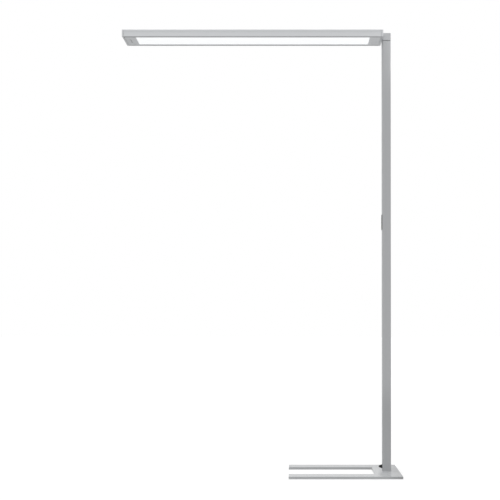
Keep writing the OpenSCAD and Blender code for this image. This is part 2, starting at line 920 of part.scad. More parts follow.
// Pale washer that shows as a round neck in the joint between mast and elbow
module swivel_washer() {
    color("lightgray")
        ring(washer_dia, shaft_dia + 2 * run_gap, mast_top, elbow_z0);
}

module thrust_washer() {
    color("lightgray")
        ring(thrust_dia, shaft_dia + 2 * run_gap, collar_z1, bearing_z0);
}

module stop_pin() {
    color("slategray")
        translate([0, stop_pin_at, collar_z1 - stop_pin_reach])
            cylinder(h = stop_pin_reach + thrust_t + stop_pin_grip, d = stop_pin_dia);
}

// Ring clamped on the shaft's end; its groove meets the stop pin at both ends of the swing
module stop_collar() {
    color("dimgray")
        difference() {
            ring(collar_dia, shaft_dia + 2 * screw_gap, collar_z0, collar_z1);
            translate([0, 0, collar_z1 - stop_pin_reach - loose])
                rotate([0, 0, 90 - stop_half])
                    rotate_extrude(angle = 2 * stop_half)
                        translate([groove_in, 0])
                            square([collar_dia - groove_in, groove_h]);
            at_collar_screw()
                translate([0, 0, -eps])
                    cylinder(h = collar_dia / 2, d = collar_screw_dia + 2 * screw_gap);
        }
}

// Turns +Z outward along -Y, from the shaft's surface at the set screw's height
module at_collar_screw() {
    translate([0, -shaft_dia / 2 - screw_gap, collar_z0 + (collar_h - groove_h + thrust_t) / 2])
        rotate([90, 0, 0])
            children();
}

module collar_screw() {
    l = (collar_dia - shaft_dia) / 2 - 2 * screw_gap;
    color("slategray")
        at_collar_screw()
            difference() {
                cylinder(h = l, d = collar_screw_dia);
                translate([0, 0, l - collar_screw_dia / 2])
                    cylinder(h = collar_screw_dia, d = collar_screw_dia / 2, $fn = 6);
            }
}

// Places the three screws in the shaft's flange
module at_flange_screws() {
    for (a = [60, 180, 300])
        rotate([0, 0, a])
            translate([flange_screw_circle / 2, 0, flange_z1])
                children();
}

// Hollow shaft, flanged inside the elbow, that turns in the two bushes
module swivel_shaft() {
    color("silver")
        difference() {
            union() {
                translate([0, 0, collar_z0])
                    cylinder(h = flange_z1 - collar_z0, d = shaft_dia);
                translate([0, 0, elbow_z1])
                    cylinder(h = flange_t, d = flange_dia);
            }
            translate([0, 0, collar_z0 - eps])
                cylinder(h = flange_z1 - collar_z0 + 2 * eps, d = shaft_bore);
            at_flange_screws()
                sunk_hole(flange_screw_dia, flange_screw_head, flange_screw_l);
        }
}

module flange_screws() {
    color("slategray")
        at_flange_screws()
            sunk_screw(flange_screw_dia, flange_screw_head, flange_screw_l);
}

// ---- Elbow ----

// The window and the four bolt holes that pass from the head into the elbow, along X
module joint_holes(x0, x1) {
    half_w = power_dia / 2 + lead_room_y;
    half_h = power_dia / 2 + lead_room_z;
    span([x0, -half_w, lead_z - half_h], [x1, half_w, lead_z + half_h]);
    for (sy = [-1, 1])
        for (i = [0, 1])
            rod_x(x0, x1, bolt_dia + 2 * screw_gap, sy * bolt_y, bracket_z1 + bolt_low + i * bolt_rise);
}

// Cast box, open at the top, that turns on the shaft and carries the head
module elbow() {
    color("darkgray")
        difference() {
            block(mast_w, mast_w, mast_r, elbow_z0, overall_h);
            span([cavity_x0, -mast_w / 2 + elbow_wall, elbow_z1],
                [cavity_x1, mast_w / 2 - elbow_wall, overall_h + eps]);
            span([cavity_x0 - lid_step, -mast_w / 2 + elbow_wall - lid_step, overall_h - lid_t],
                [cavity_x1 + lid_step, mast_w / 2 - elbow_wall + lid_step, overall_h + eps]);
            translate([0, 0, elbow_z0 - eps])
                cylinder(h = elbow_floor + 2 * eps, d = shaft_dia + 2 * screw_gap);
            joint_holes(-mast_w / 2 - eps, cavity_x0 + eps);
            at_flange_screws()
                sunk_hole(flange_screw_dia, flange_screw_head, flange_screw_l);
        }
}

// Plate that closes the elbow's top
module elbow_lid() {
    color("darkgray")
        span([cavity_x0 - lid_step + slip, -mast_w / 2 + elbow_wall - lid_step + slip, overall_h - lid_t],
            [cavity_x1 + lid_step - slip, mast_w / 2 - elbow_wall + lid_step - slip, overall_h]);
}

// Connector on the flange, over the ends of the two mast cables
module elbow_connector() {
    color("ivory")
        difference() {
            span([-connector_l / 2, -connector_w / 2, flange_z1],
                [connector_l / 2, connector_w / 2, flange_z1 + connector_h]);
            translate([0, 0, flange_z1 - eps])
                cylinder(h = cable_end_z - flange_z1 + loose + eps, d = shaft_bore);
        }
}

// ---- Head ----

// Outline of the head's section, shared by the profile and the caps
module head_outline(inset) {
    translate([0, head_z0 + head_t / 2])
        rounded(head_d - 2 * inset, head_t - 2 * inset, head_r);
}

// Places the four screws of the bracket's base, on top of it
module at_base_bolts() {
    for (sx = [0, 1])
        for (sy = [-1, 1])
            translate([base_bolt_x - sx * base_bolt_pitch, sy * base_bolt_y, bracket_z1])
                children();
}

// The holes for them, through the bracket and the floor between the light chambers
module base_bolt_holes() {
    at_base_bolts()
        translate([0, 0, -bracket_t - web_t - eps])
            cylinder(h = bracket_t + web_t + 2 * eps, d = bolt_dia + 2 * screw_gap);
}

// Holes in the floor between the light chambers
module web_holes() {
    base_bolt_holes();
    at_driver_screws()
        translate([0, 0, -web_t - driver_tab_t - eps])
            cylinder(h = web_t + driver_tab_t + 2 * eps, d = bolt_dia + 2 * screw_gap);
    for (sy = [-1, 1])
        translate([lead_hole_x, sy * lead_hole_y, web_z0 - eps])
            cylinder(h = web_t + 2 * eps, d = lead_hole_dia);
    translate([sensor_x, sensor_lead_y, web_z0 - eps])
        cylinder(h = web_t + 2 * eps, d = lead_hole_dia);
}

// Extruded profile: rims and light chamber below, driver and indirect light above
module head_frame() {
    channel_y = inner_y - channel_w / 2;
    color("silver")
        difference() {
            along_x(profile_x0, profile_x1)
                difference() {
                    union() {
                        difference() {
                            head_outline(0);
                            translate([-inner_y, rim_z1])
                                square([2 * inner_y, web_z0 - rim_z1]);
                            translate([-rim_y, head_z0 - eps])
                                square([2 * rim_y, rim_t + 2 * eps]);
                            translate([-inner_y, web_z1])
                                square([2 * inner_y, head_t]);
                        }
                        for (s = [-1, 1]) {
                            translate([s * (inner_y - ledge_w / 2), cover_z0 - ledge_t / 2])
                                square([ledge_w + 2 * tiny, ledge_t], center = true);
                            translate([s * channel_y, web_z1 + channel_w / 2])
                                square([channel_w + 2 * tiny, channel_w + 2 * tiny], center = true);
                        }
                    }
                    for (s = [-1, 1]) {
                        translate([s * channel_y, web_z1 + channel_w / 2])
                            circle(d = cap_screw_dia + 2 * screw_gap);
                        translate([s * head_d / 2, overall_h - side_groove_at])
                            square([2 * side_groove_d, side_groove_h], center = true);
                    }
                }
            web_holes();
        }
}

// End cap for the right end, drawn inward from its outer face at x = 0
module cap_body() {
    channel_y = inner_y - channel_w / 2;
    rib_w = 8;         // width of the two upper ribs
    rib_gap = 3;       // space between a rib and the screw channel
    rib_y = channel_y - channel_w / 2 - rib_gap - rib_w / 2;
    difference() {
        union() {
            along_x(-cap_t + seam_w, 0)
                head_outline(0);
            along_x(-cap_t, -cap_t + seam_w + tiny)
                head_outline(seam_d);
            span([-cap_t - tongue_l, -rim_y, rim_z1 + plate_flange_t + slip],
                [-cap_t + tiny, rim_y, web_z0 - loose]);
            for (s = [-1, 1])
                translate([0, s * rib_y, 0])
                    span([-cap_t - tongue_l, -rib_w / 2, web_z1 + slip],
                        [-cap_t + tiny, rib_w / 2, cover_z0 - ledge_t - loose]);
        }
        for (s = [-1, 1])
            translate([0, s * channel_y, web_z1 + channel_w / 2])
                rotate([0, 90, 0])
                    sunk_hole(cap_screw_dia, cap_screw_head, cap_screw_l);
    }
}

module end_cap_left() {
    color("silver")
        at_end(false)
            cap_body();
}

// The right cap lets the bolts and the driver's lead through to the elbow
module end_cap_right() {
    color("silver")
        difference() {
            at_end(true)
                cap_body();
            joint_holes(profile_x1 - tongue_l - eps, head_x1 + eps);
        }
}

module cap_screws() {
    channel_y = inner_y - channel_w / 2;
    color("slategray")
        for (right = [false, true])
            at_end(right)
                for (s = [-1, 1])
                    translate([0, s * channel_y, web_z1 + channel_w / 2])
                        rotate([0, 90, 0])
                            sunk_screw(cap_screw_dia, cap_screw_head, cap_screw_l);
}

// Plate that closes the underside between cap and diffuser, resting on the rims
module plate_body() {
    low_y = rim_y - loose;
    flange_x0 = -end_zone + sheet_rest + loose;
    flange_y = inner_y - loose;
    flange_z1 = rim_z1 + plate_flange_t;
    x1 = -cap_t - slip;
    span([-end_zone, -low_y, head_z0], [x1, low_y, rim_z1]);
    span([flange_x0, -low_y, head_z0], [x1, low_y, flange_z1]);
    span([flange_x0, -flange_y, rim_z1], [x1, flange_y, flange_z1]);
}

// The left plate has the opening for the sensor's window
module end_plate_left() {
    color("silver")
        difference() {
            at_end(false)
                plate_body();
            span([sensor_x - sensor_l / 2 - slip, -sensor_w / 2 - slip, head_z0 - eps],
                [sensor_x + sensor_l / 2 + slip, sensor_w / 2 + slip, rim_z1 + plate_flange_t + eps]);
            translate([0, 0, -sensor_lip_t])
                span([sensor_x - sensor_l / 2 - sensor_lip - slip,
                        -sensor_w / 2 - sensor_lip - slip, rim_z1 + plate_flange_t],
                    [sensor_x + sensor_l / 2 + sensor_lip + slip,
                        sensor_w / 2 + sensor_lip + slip, rim_z1 + plate_flange_t + eps]);
        }
}

module end_plate_right() {
    color("silver")
        at_end(true)
            plate_body();
}

// A sheet of the direct light between two heights
module sheet(z0, z1) {
    span([sheet_x0, -sheet_y, z0], [sheet_x1, sheet_y, z1]);
}

module diffuser() {
    color("white")
        sheet(rim_z1, guide_z0);
}

module light_guide() {
    color("aliceblue")
        sheet(guide_z0, reflector_z0);
}

module reflector_sheet() {
    color("white")
        sheet(reflector_z0, web_z0);
}

// Number of diodes that fit on a board of length l
function led_count(l) = floor((l - led_pitch) / led_pitch) + 1;

// Strip standing on the rim against the front wall, diodes facing the light guide
module edge_strip() {
    l = sheet_x1 - sheet_x0;
    n = led_count(l);
    guide_mid = guide_z0 + guide_t / 2;
    span([sheet_x0, -inner_y, rim_z1], [sheet_x1, -inner_y + strip_t, rim_z1 + strip_h]);
    for (i = [0 : n - 1])
        translate([(sheet_x0 + sheet_x1) / 2 + (i - (n - 1) / 2) * led_pitch - led_w / 2,
                -inner_y + strip_t - tiny, guide_mid - led_w / 2])
            cube([led_w, led_t + tiny, led_w]);
}

module edge_strip_front() {
    color("lemonchiffon")
        edge_strip();
}

module edge_strip_rear() {
    color("lemonchiffon")
        mirror([0, 1, 0])
            edge_strip();
}

// Two boards on the floor of the upper chamber, diodes facing up
module upper_light_boards() {
    l = upper_board_x1 - upper_board_x0;
    n = led_count(l);
    color("white")
        for (s = [-1, 1])
            translate([0, s * upper_board_y, web_z1])
                union() {
                    span([upper_board_x0, -upper_board_w / 2, 0],
                        [upper_board_x1, upper_board_w / 2, board_t]);
                    for (i = [0 : n - 1])
                        translate([(upper_board_x0 + upper_board_x1) / 2
                                + (i - (n - 1) / 2) * led_pitch - led_w / 2, -led_w / 2, board_t - tiny])
                            cube([led_w, led_w, led_t + tiny]);
                }
}

// A cover laid on the profile's ledges between two places along the head
module cover(x0, x1) {
    y = inner_y - loose;
    span([x0 + loose, -y, cover_z0], [x1 - loose, y, overall_h]);
}

module top_cover() {
    color([0.9, 0.95, 1, 0.5])
        cover(profile_x0, bay_x0);
}

module driver_cover() {
    color("silver")
        cover(bay_x0, profile_x1);
}

// Places the driver's two screws, on top of its tabs
module at_driver_screws() {
    for (x = [driver_x1 + driver_tab / 2, driver_x0 - driver_tab / 2])
        translate([x, driver_screw_y, web_z1 + driver_tab_t])
            children();
}

// Power supply for all the diodes, in its metal case
module driver() {
    color("whitesmoke")
        difference() {
            union() {
                span([driver_x0, -driver_w / 2, web_z1], [driver_x1, driver_w / 2, web_z1 + driver_h]);
                span([driver_x0 - driver_tab, -driver_w / 2, web_z1],
                    [driver_x1 + driver_tab, driver_w / 2, web_z1 + driver_tab_t]);
            }
            at_driver_screws()
                translate([0, 0, -driver_tab_t - eps])
                    cylinder(h = driver_tab_t + 2 * eps, d = bolt_dia + 2 * screw_gap);
        }
}

module driver_screws() {
    color("slategray")
        at_driver_screws()
            head_screw(bolt_dia, bolt_head, bolt_head_h, driver_tab_t + web_t);
}

// Angle with two gussets, screwed to the head's floor and bolted to the elbow
module head_bracket() {
    gusset_in = 4;     // from the base's left edge to the gussets' tips
    x0 = profile_x1 - bracket_l;
    gusset_x0 = x0 + gusset_in;
    z1 = cover_z0 - loose;
    color("gray")
        difference() {
            union() {
                span([x0, -bracket_w / 2, web_z1], [profile_x1 - slip, bracket_w / 2, bracket_z1]);
                span([profile_x1 - bracket_t, -bracket_w / 2, web_z1],
                    [profile_x1 - slip, bracket_w / 2, z1]);
                for (s = [-1, 1])
                    translate([0, s * (bracket_w - gusset_t) / 2 + gusset_t / 2, 0])
                        rotate([90, 0, 0])
                            linear_extrude(height = gusset_t)
                                polygon([
                                    [gusset_x0, bracket_z1 - tiny],
                                    [profile_x1 - bracket_t + tiny, bracket_z1 - tiny],
                                    [profile_x1 - bracket_t + tiny, z1]
                                ]);
            }
            joint_holes(profile_x1 - bracket_t - eps, profile_x1 + eps);
            base_bolt_holes();
        }
}

module bracket_screws() {
    below = 2;   // length of the screws below the floor
    color("slategray")
        at_base_bolts()
            head_screw(bolt_dia, bolt_head, bolt_head_h, bracket_t + web_t + below);
}

// Four bolts from inside the bracket through the right cap into the elbow
module elbow_bolts() {
    short = 0.5;       // how far the bolts stop short of the elbow's inside
    l = bracket_t + cap_t + elbow_joint_wall - short;
    color("slategray")
        for (sy = [-1, 1])
            for (i = [0, 1])
                translate([profile_x1 - bracket_t, sy * bolt_y, bracket_z1 + bolt_low + i * bolt_rise])
                    rotate([0, -90, 0])
                        head_screw(bolt_dia, bolt_head, bolt_head_h, l);
}

// Lead from the connector in the elbow to the driver
module driver_lead() {
    color("whitesmoke")
        rod_x(driver_x1, -connector_l / 2, power_dia, 0, lead_z);
}

// Thin leads from the driver to the two edge strips and the two upper boards
module light_leads() {
    out_y = driver_w * 0.3;
    out_z = web_z1 + driver_h / 2;
    out_l = 4;         // straight length of a lead at the driver
    end_gap = 0.3;     // keeps the slanted end of a lead out of the strip
    drop_l = 2;        // length in which a lead drops from the driver to the floor
    board_gap = 3;     // from an upper board's end to the bend over it
    past_bracket = 6;  // how far a lead passes beside the bracket
    bypass_y = bracket_w / 2 + past_bracket;
    on_web = web_z1 + wire_dia;
    under_web = web_z0 - wire_dia;
    board_top = web_z1 + board_t + wire_dia / 2 + slip;
    strip_y = inner_y - wire_dia / 2 - slip;
    strip_z = rim_z1 + strip_h / 2;
    color("tomato")
        for (s = [-1, 1]) {
            lead([
                [driver_x1, s * out_y, out_z],
                [driver_x1 + out_l, s * out_y, out_z],
                [driver_x1 + out_l + drop_l, s * bypass_y, on_web],
                [lead_hole_x, s * lead_hole_y, on_web],
                [lead_hole_x, s * lead_hole_y, under_web],
                [sheet_x1 + end_gap, s * strip_y, strip_z]
            ], wire_dia);
            lead([
                [driver_x0, s * out_y, out_z],
                [driver_x0 - driver_tab - out_l, s * out_y, out_z],
                [upper_board_x1 + board_gap, s * upper_board_y, board_top],
                [upper_board_x1 - out_l, s * upper_board_y, board_top]
            ], wire_dia);
        }
}

// ---- Sensor ----

// Grey window for the presence and light sensor, let into the left end plate
module sensor_window() {
    color([0.45, 0.46, 0.48])
        difference() {
            union() {
                span([sensor_x - sensor_l / 2, -sensor_w / 2, head_z0],
                    [sensor_x + sensor_l / 2, sensor_w / 2, rim_z1 + plate_flange_t]);
                span([sensor_x - sensor_l / 2 - sensor_lip, -sensor_w / 2 - sensor_lip,
                        rim_z1 + plate_flange_t - sensor_lip_t],
                    [sensor_x + sensor_l / 2 + sensor_lip, sensor_w / 2 + sensor_lip,
                        rim_z1 + plate_flange_t]);
            }
            translate([sensor_x + lens_off, 0, 0])
                span([-lens_l / 2 - slip, -lens_w / 2 - slip, head_z0 - eps],
                    [lens_l / 2 + slip, lens_w / 2 + slip, rim_z1 + plate_flange_t + eps]);
        }
}

module sensor_lens() {
    color([0.12, 0.12, 0.13])
        translate([sensor_x + lens_off, 0, 0])
            span([-lens_l / 2, -lens_w / 2, head_z0], [lens_l / 2, lens_w / 2, rim_z1 + plate_flange_t]);
}

module sensor_board() {
    past_lead = 6;     // how far the board reaches past its lead
    z0 = rim_z1 + plate_flange_t;
    y1 = -sensor_lead_y + past_lead;
    color("seagreen")
        span([sensor_x - sensor_l / 2, -y1, z0], [sensor_x + sensor_l / 2, y1, z0 + sensor_board_t]);
}

// Lead from the sensor's board along the floor of the upper chamber to the driver
module sensor_lead() {
    z0 = rim_z1 + plate_flange_t + sensor_board_t;
    on_web = web_z1 + wire_dia / 2 + slip;
    over_tab = on_web + driver_tab_t;
    turn_gap = 12;     // from the driver's tab to the turn before it
    rise_l = 6;        // length in which the lead rises over the tab
    turn_x = driver_x0 - driver_tab - turn_gap;
    in_y = -driver_w * 0.42;
    in_l = 4;          // straight length of the lead at the driver
    color("steelblue")
        lead([
            [sensor_x, sensor_lead_y, z0],
            [sensor_x, sensor_lead_y, on_web],
            [turn_x, sensor_lead_y, on_web],
            [turn_x + rise_l, sensor_lead_y, over_tab],
            [driver_x0 - in_l, in_y, over_tab],
            [driver_x0, in_y, over_tab]
        ], wire_dia);
}

base_plate();
heel_pad();
prong_pads();
base_screws();
mast_foot();
mast();
mast_screws();
cable_gland();
terminal_block();
mast_cable();
control_cable();
panel_housing();
button_up();
button_power();
button_down();
switch_board();
board_screws();
board_plug();
bearing_block();
upper_bush();
lower_bush();
swivel_washer();
thrust_washer();
stop_pin();
stop_collar();
collar_screw();
swivel_shaft();
flange_screws();
elbow();
elbow_lid();
elbow_connector();
head_frame();
end_cap_left();
end_cap_right();
cap_screws();
end_plate_left();
end_plate_right();
diffuser();
light_guide();
reflector_sheet();
edge_strip_front();
edge_strip_rear();
upper_light_boards();
top_cover();
driver_cover();
driver();
driver_screws();
head_bracket();
bracket_screws();
elbow_bolts();
driver_lead();
light_leads();
sensor_window();
sensor_lens();
sensor_board();
sensor_lead();
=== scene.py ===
"""An office floor lamp: a long flat light head on a slim square mast, which stands on a forked base plate.

Each section below is one piece or one group of like pieces, in the order in which the lamp is put together.
Lengths are metres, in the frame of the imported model: +Z up, the front toward -Y, the head toward -X.
"""

import math

import bmesh
import bpy
from mathutils import Matrix, Vector


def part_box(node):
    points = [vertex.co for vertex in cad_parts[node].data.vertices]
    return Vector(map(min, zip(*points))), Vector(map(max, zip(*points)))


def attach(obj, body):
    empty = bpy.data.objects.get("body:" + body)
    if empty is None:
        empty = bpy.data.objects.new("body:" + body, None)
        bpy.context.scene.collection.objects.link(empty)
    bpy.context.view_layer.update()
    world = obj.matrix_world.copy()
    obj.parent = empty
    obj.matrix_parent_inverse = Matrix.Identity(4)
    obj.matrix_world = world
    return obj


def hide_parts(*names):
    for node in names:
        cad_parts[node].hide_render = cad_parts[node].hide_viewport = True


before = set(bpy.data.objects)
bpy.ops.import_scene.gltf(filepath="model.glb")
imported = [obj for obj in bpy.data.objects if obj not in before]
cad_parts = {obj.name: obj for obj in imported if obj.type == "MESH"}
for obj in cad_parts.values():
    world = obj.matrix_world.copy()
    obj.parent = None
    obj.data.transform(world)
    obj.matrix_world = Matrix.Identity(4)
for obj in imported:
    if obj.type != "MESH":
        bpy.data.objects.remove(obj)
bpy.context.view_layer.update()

# ---- Camera ----
# Not part of the lamp. It stands 4 m in front of the lamp, a little over knee height and almost level, so
# the head is seen from below. The shifts put the lamp where the photograph has it. The sensor's height sets
# the picture, and its smaller width only leaves room round the lamp in the views from other sides.

camera_up = math.radians(0.5187)
camera_data = bpy.data.cameras.new("camera")
camera_data.sensor_fit = "VERTICAL"
camera_data.sensor_height = 36
camera_data.sensor_width = 28
camera_data.lens = 66.441
camera_data.shift_x = -0.08589
camera_data.shift_y = 0.13
camera_data.clip_end = 200
camera = bpy.data.objects.new("camera", camera_data)
camera.location = (-0.41647, -4.11685, 0.66696)
camera.rotation_euler = (math.radians(90) + camera_up, 0, 0)
bpy.context.collection.objects.link(camera)
bpy.context.scene.camera = camera

# ---- Studio ----
# Not part of the lamp: a wide pale floor under an even pale sky, with one soft lamp high above and a small
# weak one beside the elbow, which lights its right side and the mast's upper end as in the photograph.
# What the camera, a glossy surface and clear plastic see of floor and sky is white, but for a soft shadow.


class Shader:
    """The node tree of a material or of the world."""

    def __init__(self, tree):
        self.tree = tree

    def node(self, kind, settings=None, inputs=None, output=0):
        """Adds a node of any type: its settings first, then its sockets' values or links."""
        made = self.tree.nodes.new("ShaderNode" + kind)
        for name, value in (settings or {}).items():
            setattr(made, name, value)
        for name, value in (inputs or {}).items():
            if isinstance(value, Signal):
                self.tree.links.new(value.socket, made.inputs[name])
            else:
                made.inputs[name].default_value = value
        return Signal(self, made.outputs[output]) if made.outputs else made


class Signal:
    """What one socket gives out. Arithmetic on it adds Math nodes to the same tree."""

    def __init__(self, shader, socket):
        self.shader = shader
        self.socket = socket

    def math(self, operation, first, second=0.0):
        return self.shader.node("Math", {"operation": operation}, {0: first, 1: second})

    def __add__(self, other):
        return self.math("ADD", self, other)

    def __sub__(self, other):
        return self.math("SUBTRACT", self, other)

    def __rsub__(self, other):
        return self.math("SUBTRACT", other, self)

    def __mul__(self, other):
        return self.math("MULTIPLY", self, other)

    __radd__ = __add__
    __rmul__ = __mul__

    def smallest(self, other):
        return self.math("MINIMUM", self, other)

    def size(self):
        return self.math("ABSOLUTE", self)

    def wave(self):
        return self.math("SINE", self)

    def between(self, low, high):
        """0 up to low, 1 from high on, and a soft rise between them. It falls where low is above high."""
        return self.shader.node("MapRange", {"interpolation_type": "SMOOTHSTEP"},
                                {"Value": self, "From Min": low, "From Max": high})


def shown_as_white(shader):
    """1 for what the camera, a glossy surface or clear plastic sees, and 0 for the light itself."""
    seen = shader.node("LightPath", output="Is Camera Ray")
    seen = seen + shader.node("LightPath", output="Is Glossy Ray")
    return (seen + shader.node("LightPath", output="Is Transmission Ray")).smallest(1.0)


bpy.context.scene.view_settings.view_transform = "Standard"

sky_level = 0.62
world = bpy.data.worlds.new("pale sky")
bpy.context.scene.world = world
world.use_nodes = True
world.node_tree.nodes.clear()
sky = Shader(world.node_tree)
sky_light = sky.node("Background", None, {"Color": (1, 1, 1, 1), "Strength": sky_level})
sky_white = sky.node("Background", None, {"Color": (1, 1, 1, 1), "Strength": 1.0})
sky.node("OutputWorld", None, {"Surface": sky.node(
    "MixShader", None, {0: shown_as_white(sky), 1: sky_light, 2: sky_white})})

floor_half = 40
floor_z = -0.0002
floor_tone = 0.2
floor_seen_tone = 0.42
floor_seen_glow = 0.64
floor_mesh = bpy.data.meshes.new("floor")
floor_mesh.from_pydata(
    [(sx * floor_half, sy * floor_half, floor_z) for sx, sy in ((-1, -1), (1, -1), (1, 1), (-1, 1))],
    [], [(0, 1, 2, 3)])
floor = bpy.data.objects.new("floor", floor_mesh)
bpy.context.collection.objects.link(floor)
floor_paint = bpy.data.materials.new("pale floor")
floor_paint.use_nodes = True
floor_paint.node_tree.nodes.clear()
ground = Shader(floor_paint.node_tree)
ground_light = ground.node("BsdfDiffuse", None, {"Color": (floor_tone, floor_tone, floor_tone, 1)})
ground_shade = ground.node("BsdfDiffuse", None, {
    "Color": (floor_seen_tone, floor_seen_tone, floor_seen_tone, 1)})
ground_glow = ground.node("Emission", None, {"Color": (1, 1, 1, 1), "Strength": floor_seen_glow})
ground_seen = ground.node("AddShader", None, {0: ground_shade, 1: ground_glow})
ground.node("OutputMaterial", None, {"Surface": ground.node(
    "MixShader", None, {0: shown_as_white(ground), 1: ground_light, 2: ground_seen})})
floor_mesh.materials.append(floor_paint)

overhead_turn_x = math.radians(15)
overhead_turn_y = math.radians(-20)
overhead_data = bpy.data.lights.new("overhead lamp", "SUN")
overhead_data.energy = 1.25
overhead_data.angle = math.radians(60)
overhead = bpy.data.objects.new("overhead lamp", overhead_data)
overhead.rotation_euler = (overhead_turn_x, overhead_turn_y, 0)
bpy.context.collection.objects.link(overhead)

elbow_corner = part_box("elbow")[1]
side_place = elbow_corner + Vector((0.1, -0.13, -0.11))
side_target = elbow_corner - Vector((0.02, 0, 0.07))
side_data = bpy.data.lights.new("side lamp", "AREA")
side_data.shape = "DISK"
side_data.size = 0.06
side_data.energy = 0.05
side_lamp = bpy.data.objects.new("side lamp", side_data)
side_lamp.location = side_place
side_lamp.rotation_euler = (side_target - side_place).to_track_quat("-Z", "Y").to_euler()
bpy.context.collection.objects.link(side_lamp)

# ---- Base plate ----
# Forked plate cut from 10 mm steel, coated with silver powder paint. The heel carries the mast, and the two
# prongs slide under a desk on either side of its leg. The paint is drawn darker at the right end and, a
# little, on the far side only to follow the photograph's shading.


class Finish(Shader):
    """One material. Constants are set on the Principled shader's own sockets."""

    def __init__(self, name, constants):
        self.material = bpy.data.materials.new(name)
        self.material.use_nodes = True
        super().__init__(self.material.node_tree)
        self.principled = self.tree.nodes["Principled BSDF"]
        for socket, value in constants.items():
            self.principled.inputs[socket].default_value = value
        self.place = self.node("TexCoord", output="Object")

    def feed(self, **signals):
        """Links signals to the shader's sockets, named with _ for each space."""
        for name, signal in signals.items():
            self.tree.links.new(signal.socket, self.principled.inputs[name.replace("_", " ")])

    def grain(self, size, stretch=(1, 1, 1), detail=2):
        """Cloudy noise from 0 to 1 with spots about this size, drawn out along an axis by its stretch."""
        squeezed = self.node("VectorMath", {"operation": "DIVIDE"}, {0: self.place, 1: stretch})
        return self.node("TexNoise", None, {"Vector": squeezed, "Scale": 1 / size, "Detail": detail})

    def cells(self, size, output="Distance"):
        """Cells about this size: how far a place is from its cell's middle, or the cell's own colour."""
        return self.node("TexVoronoi", None, {"Vector": self.place, "Scale": 1 / size}, output)

    def axis(self, name):
        """The place along X, Y or Z, in metres."""
        return self.node("SeparateXYZ", None, {"Vector": self.place}, name)

    def blend(self, share, first, second):
        """One colour or the other by share, or between them."""
        return self.node("Mix", {"data_type": "RGBA"}, {0: share, 6: first, 7: second}, 2)

    def bump(self, height, depth):
        """Raises the surface by depth metres where height is 1."""
        self.feed(Normal=self.node("Bump", None, {"Height": height, "Distance": depth}))

    def facing(self, way):
        """1 on level surfaces that face up (way 1) or down (way -1), and 0 on the rest."""
        upward = self.node("SeparateXYZ", None, {"Vector": self.node("NewGeometry", output="Normal")}, "Z")
        return upward.between(0.6 * way, 0.95 * way)

    def worn_edge(self, patch):
        """1 on the rounded edges of a piece, broken up into patches of this size."""
        edge = self.node("Attribute", {"attribute_name": "edge"}, output="Fac")
        return edge * self.grain(patch, detail=4).between(0.42, 0.62)


def tone(level, tint=(0, 0, 0)):
    """A grey of this level with a small tint added."""
    return (level + tint[0], level + tint[1], level + tint[2], 1)


def silver(level):
    """The slightly blue grey of silver paint and anodised aluminium."""
    return (0.98 * level, level, 1.022 * level, 1)


def dress(finish, *names):
    """Gives CAD pieces a finish."""
    for name in names:
        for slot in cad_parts[name].material_slots:
            slot.material = finish.material


def as_piece(name, shape, finishes, body, stands_for):
    """Makes an object from a bmesh, whose faces may use several finishes, and fits it to the frame."""
    sharp_above = math.radians(50)
    mesh = bpy.data.meshes.new(name)
    shape.to_mesh(mesh)
    shape.free()
    for finish in finishes:
        mesh.materials.append(finish.material)
    mesh.shade_smooth()
    mesh.set_sharp_from_angle(angle=sharp_above)
    piece = bpy.data.objects.new(name, mesh)
    bpy.context.collection.objects.link(piece)
    even = piece.modifiers.new("even shading", "WEIGHTED_NORMAL")
    even.keep_sharp = True
    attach(piece, body)
    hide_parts(*stands_for)
    return piece


def broken_edges(name, finish, body, radius, steps=2):
    """The CAD piece with its sharp outer edges rounded off, which also marks them for wear."""
    same_place = 1e-6
    nearly_flat = math.radians(0.5)
    sharp_above = math.radians(30)
    sliver = 2e-5
    speck = 1e-5
    shape = bmesh.new()
    shape.from_mesh(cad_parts[name].data)
    edge_mark = shape.faces.layers.float.new("edge")
    bmesh.ops.remove_doubles(shape, verts=shape.verts, dist=same_place)
    bmesh.ops.dissolve_limit(shape, angle_limit=nearly_flat, verts=shape.verts, edges=shape.edges)
    sharp = [edge for edge in shape.edges
             if edge.is_manifold and edge.is_convex and edge.calc_face_angle() > sharp_above]
    made = bmesh.ops.bevel(shape, geom=sharp, offset=radius, offset_type="OFFSET", segments=steps,
                           profile=0.5, affect="EDGES", clamp_overlap=True)
    for face in made["faces"]:
        face[edge_mark] = 1.0
    bmesh.ops.remove_doubles(shape, verts=shape.verts, dist=sliver)
    bmesh.ops.dissolve_degenerate(shape, dist=speck, edges=shape.edges)
    return as_piece(name + "_edged", shape, [finish], body, [name])


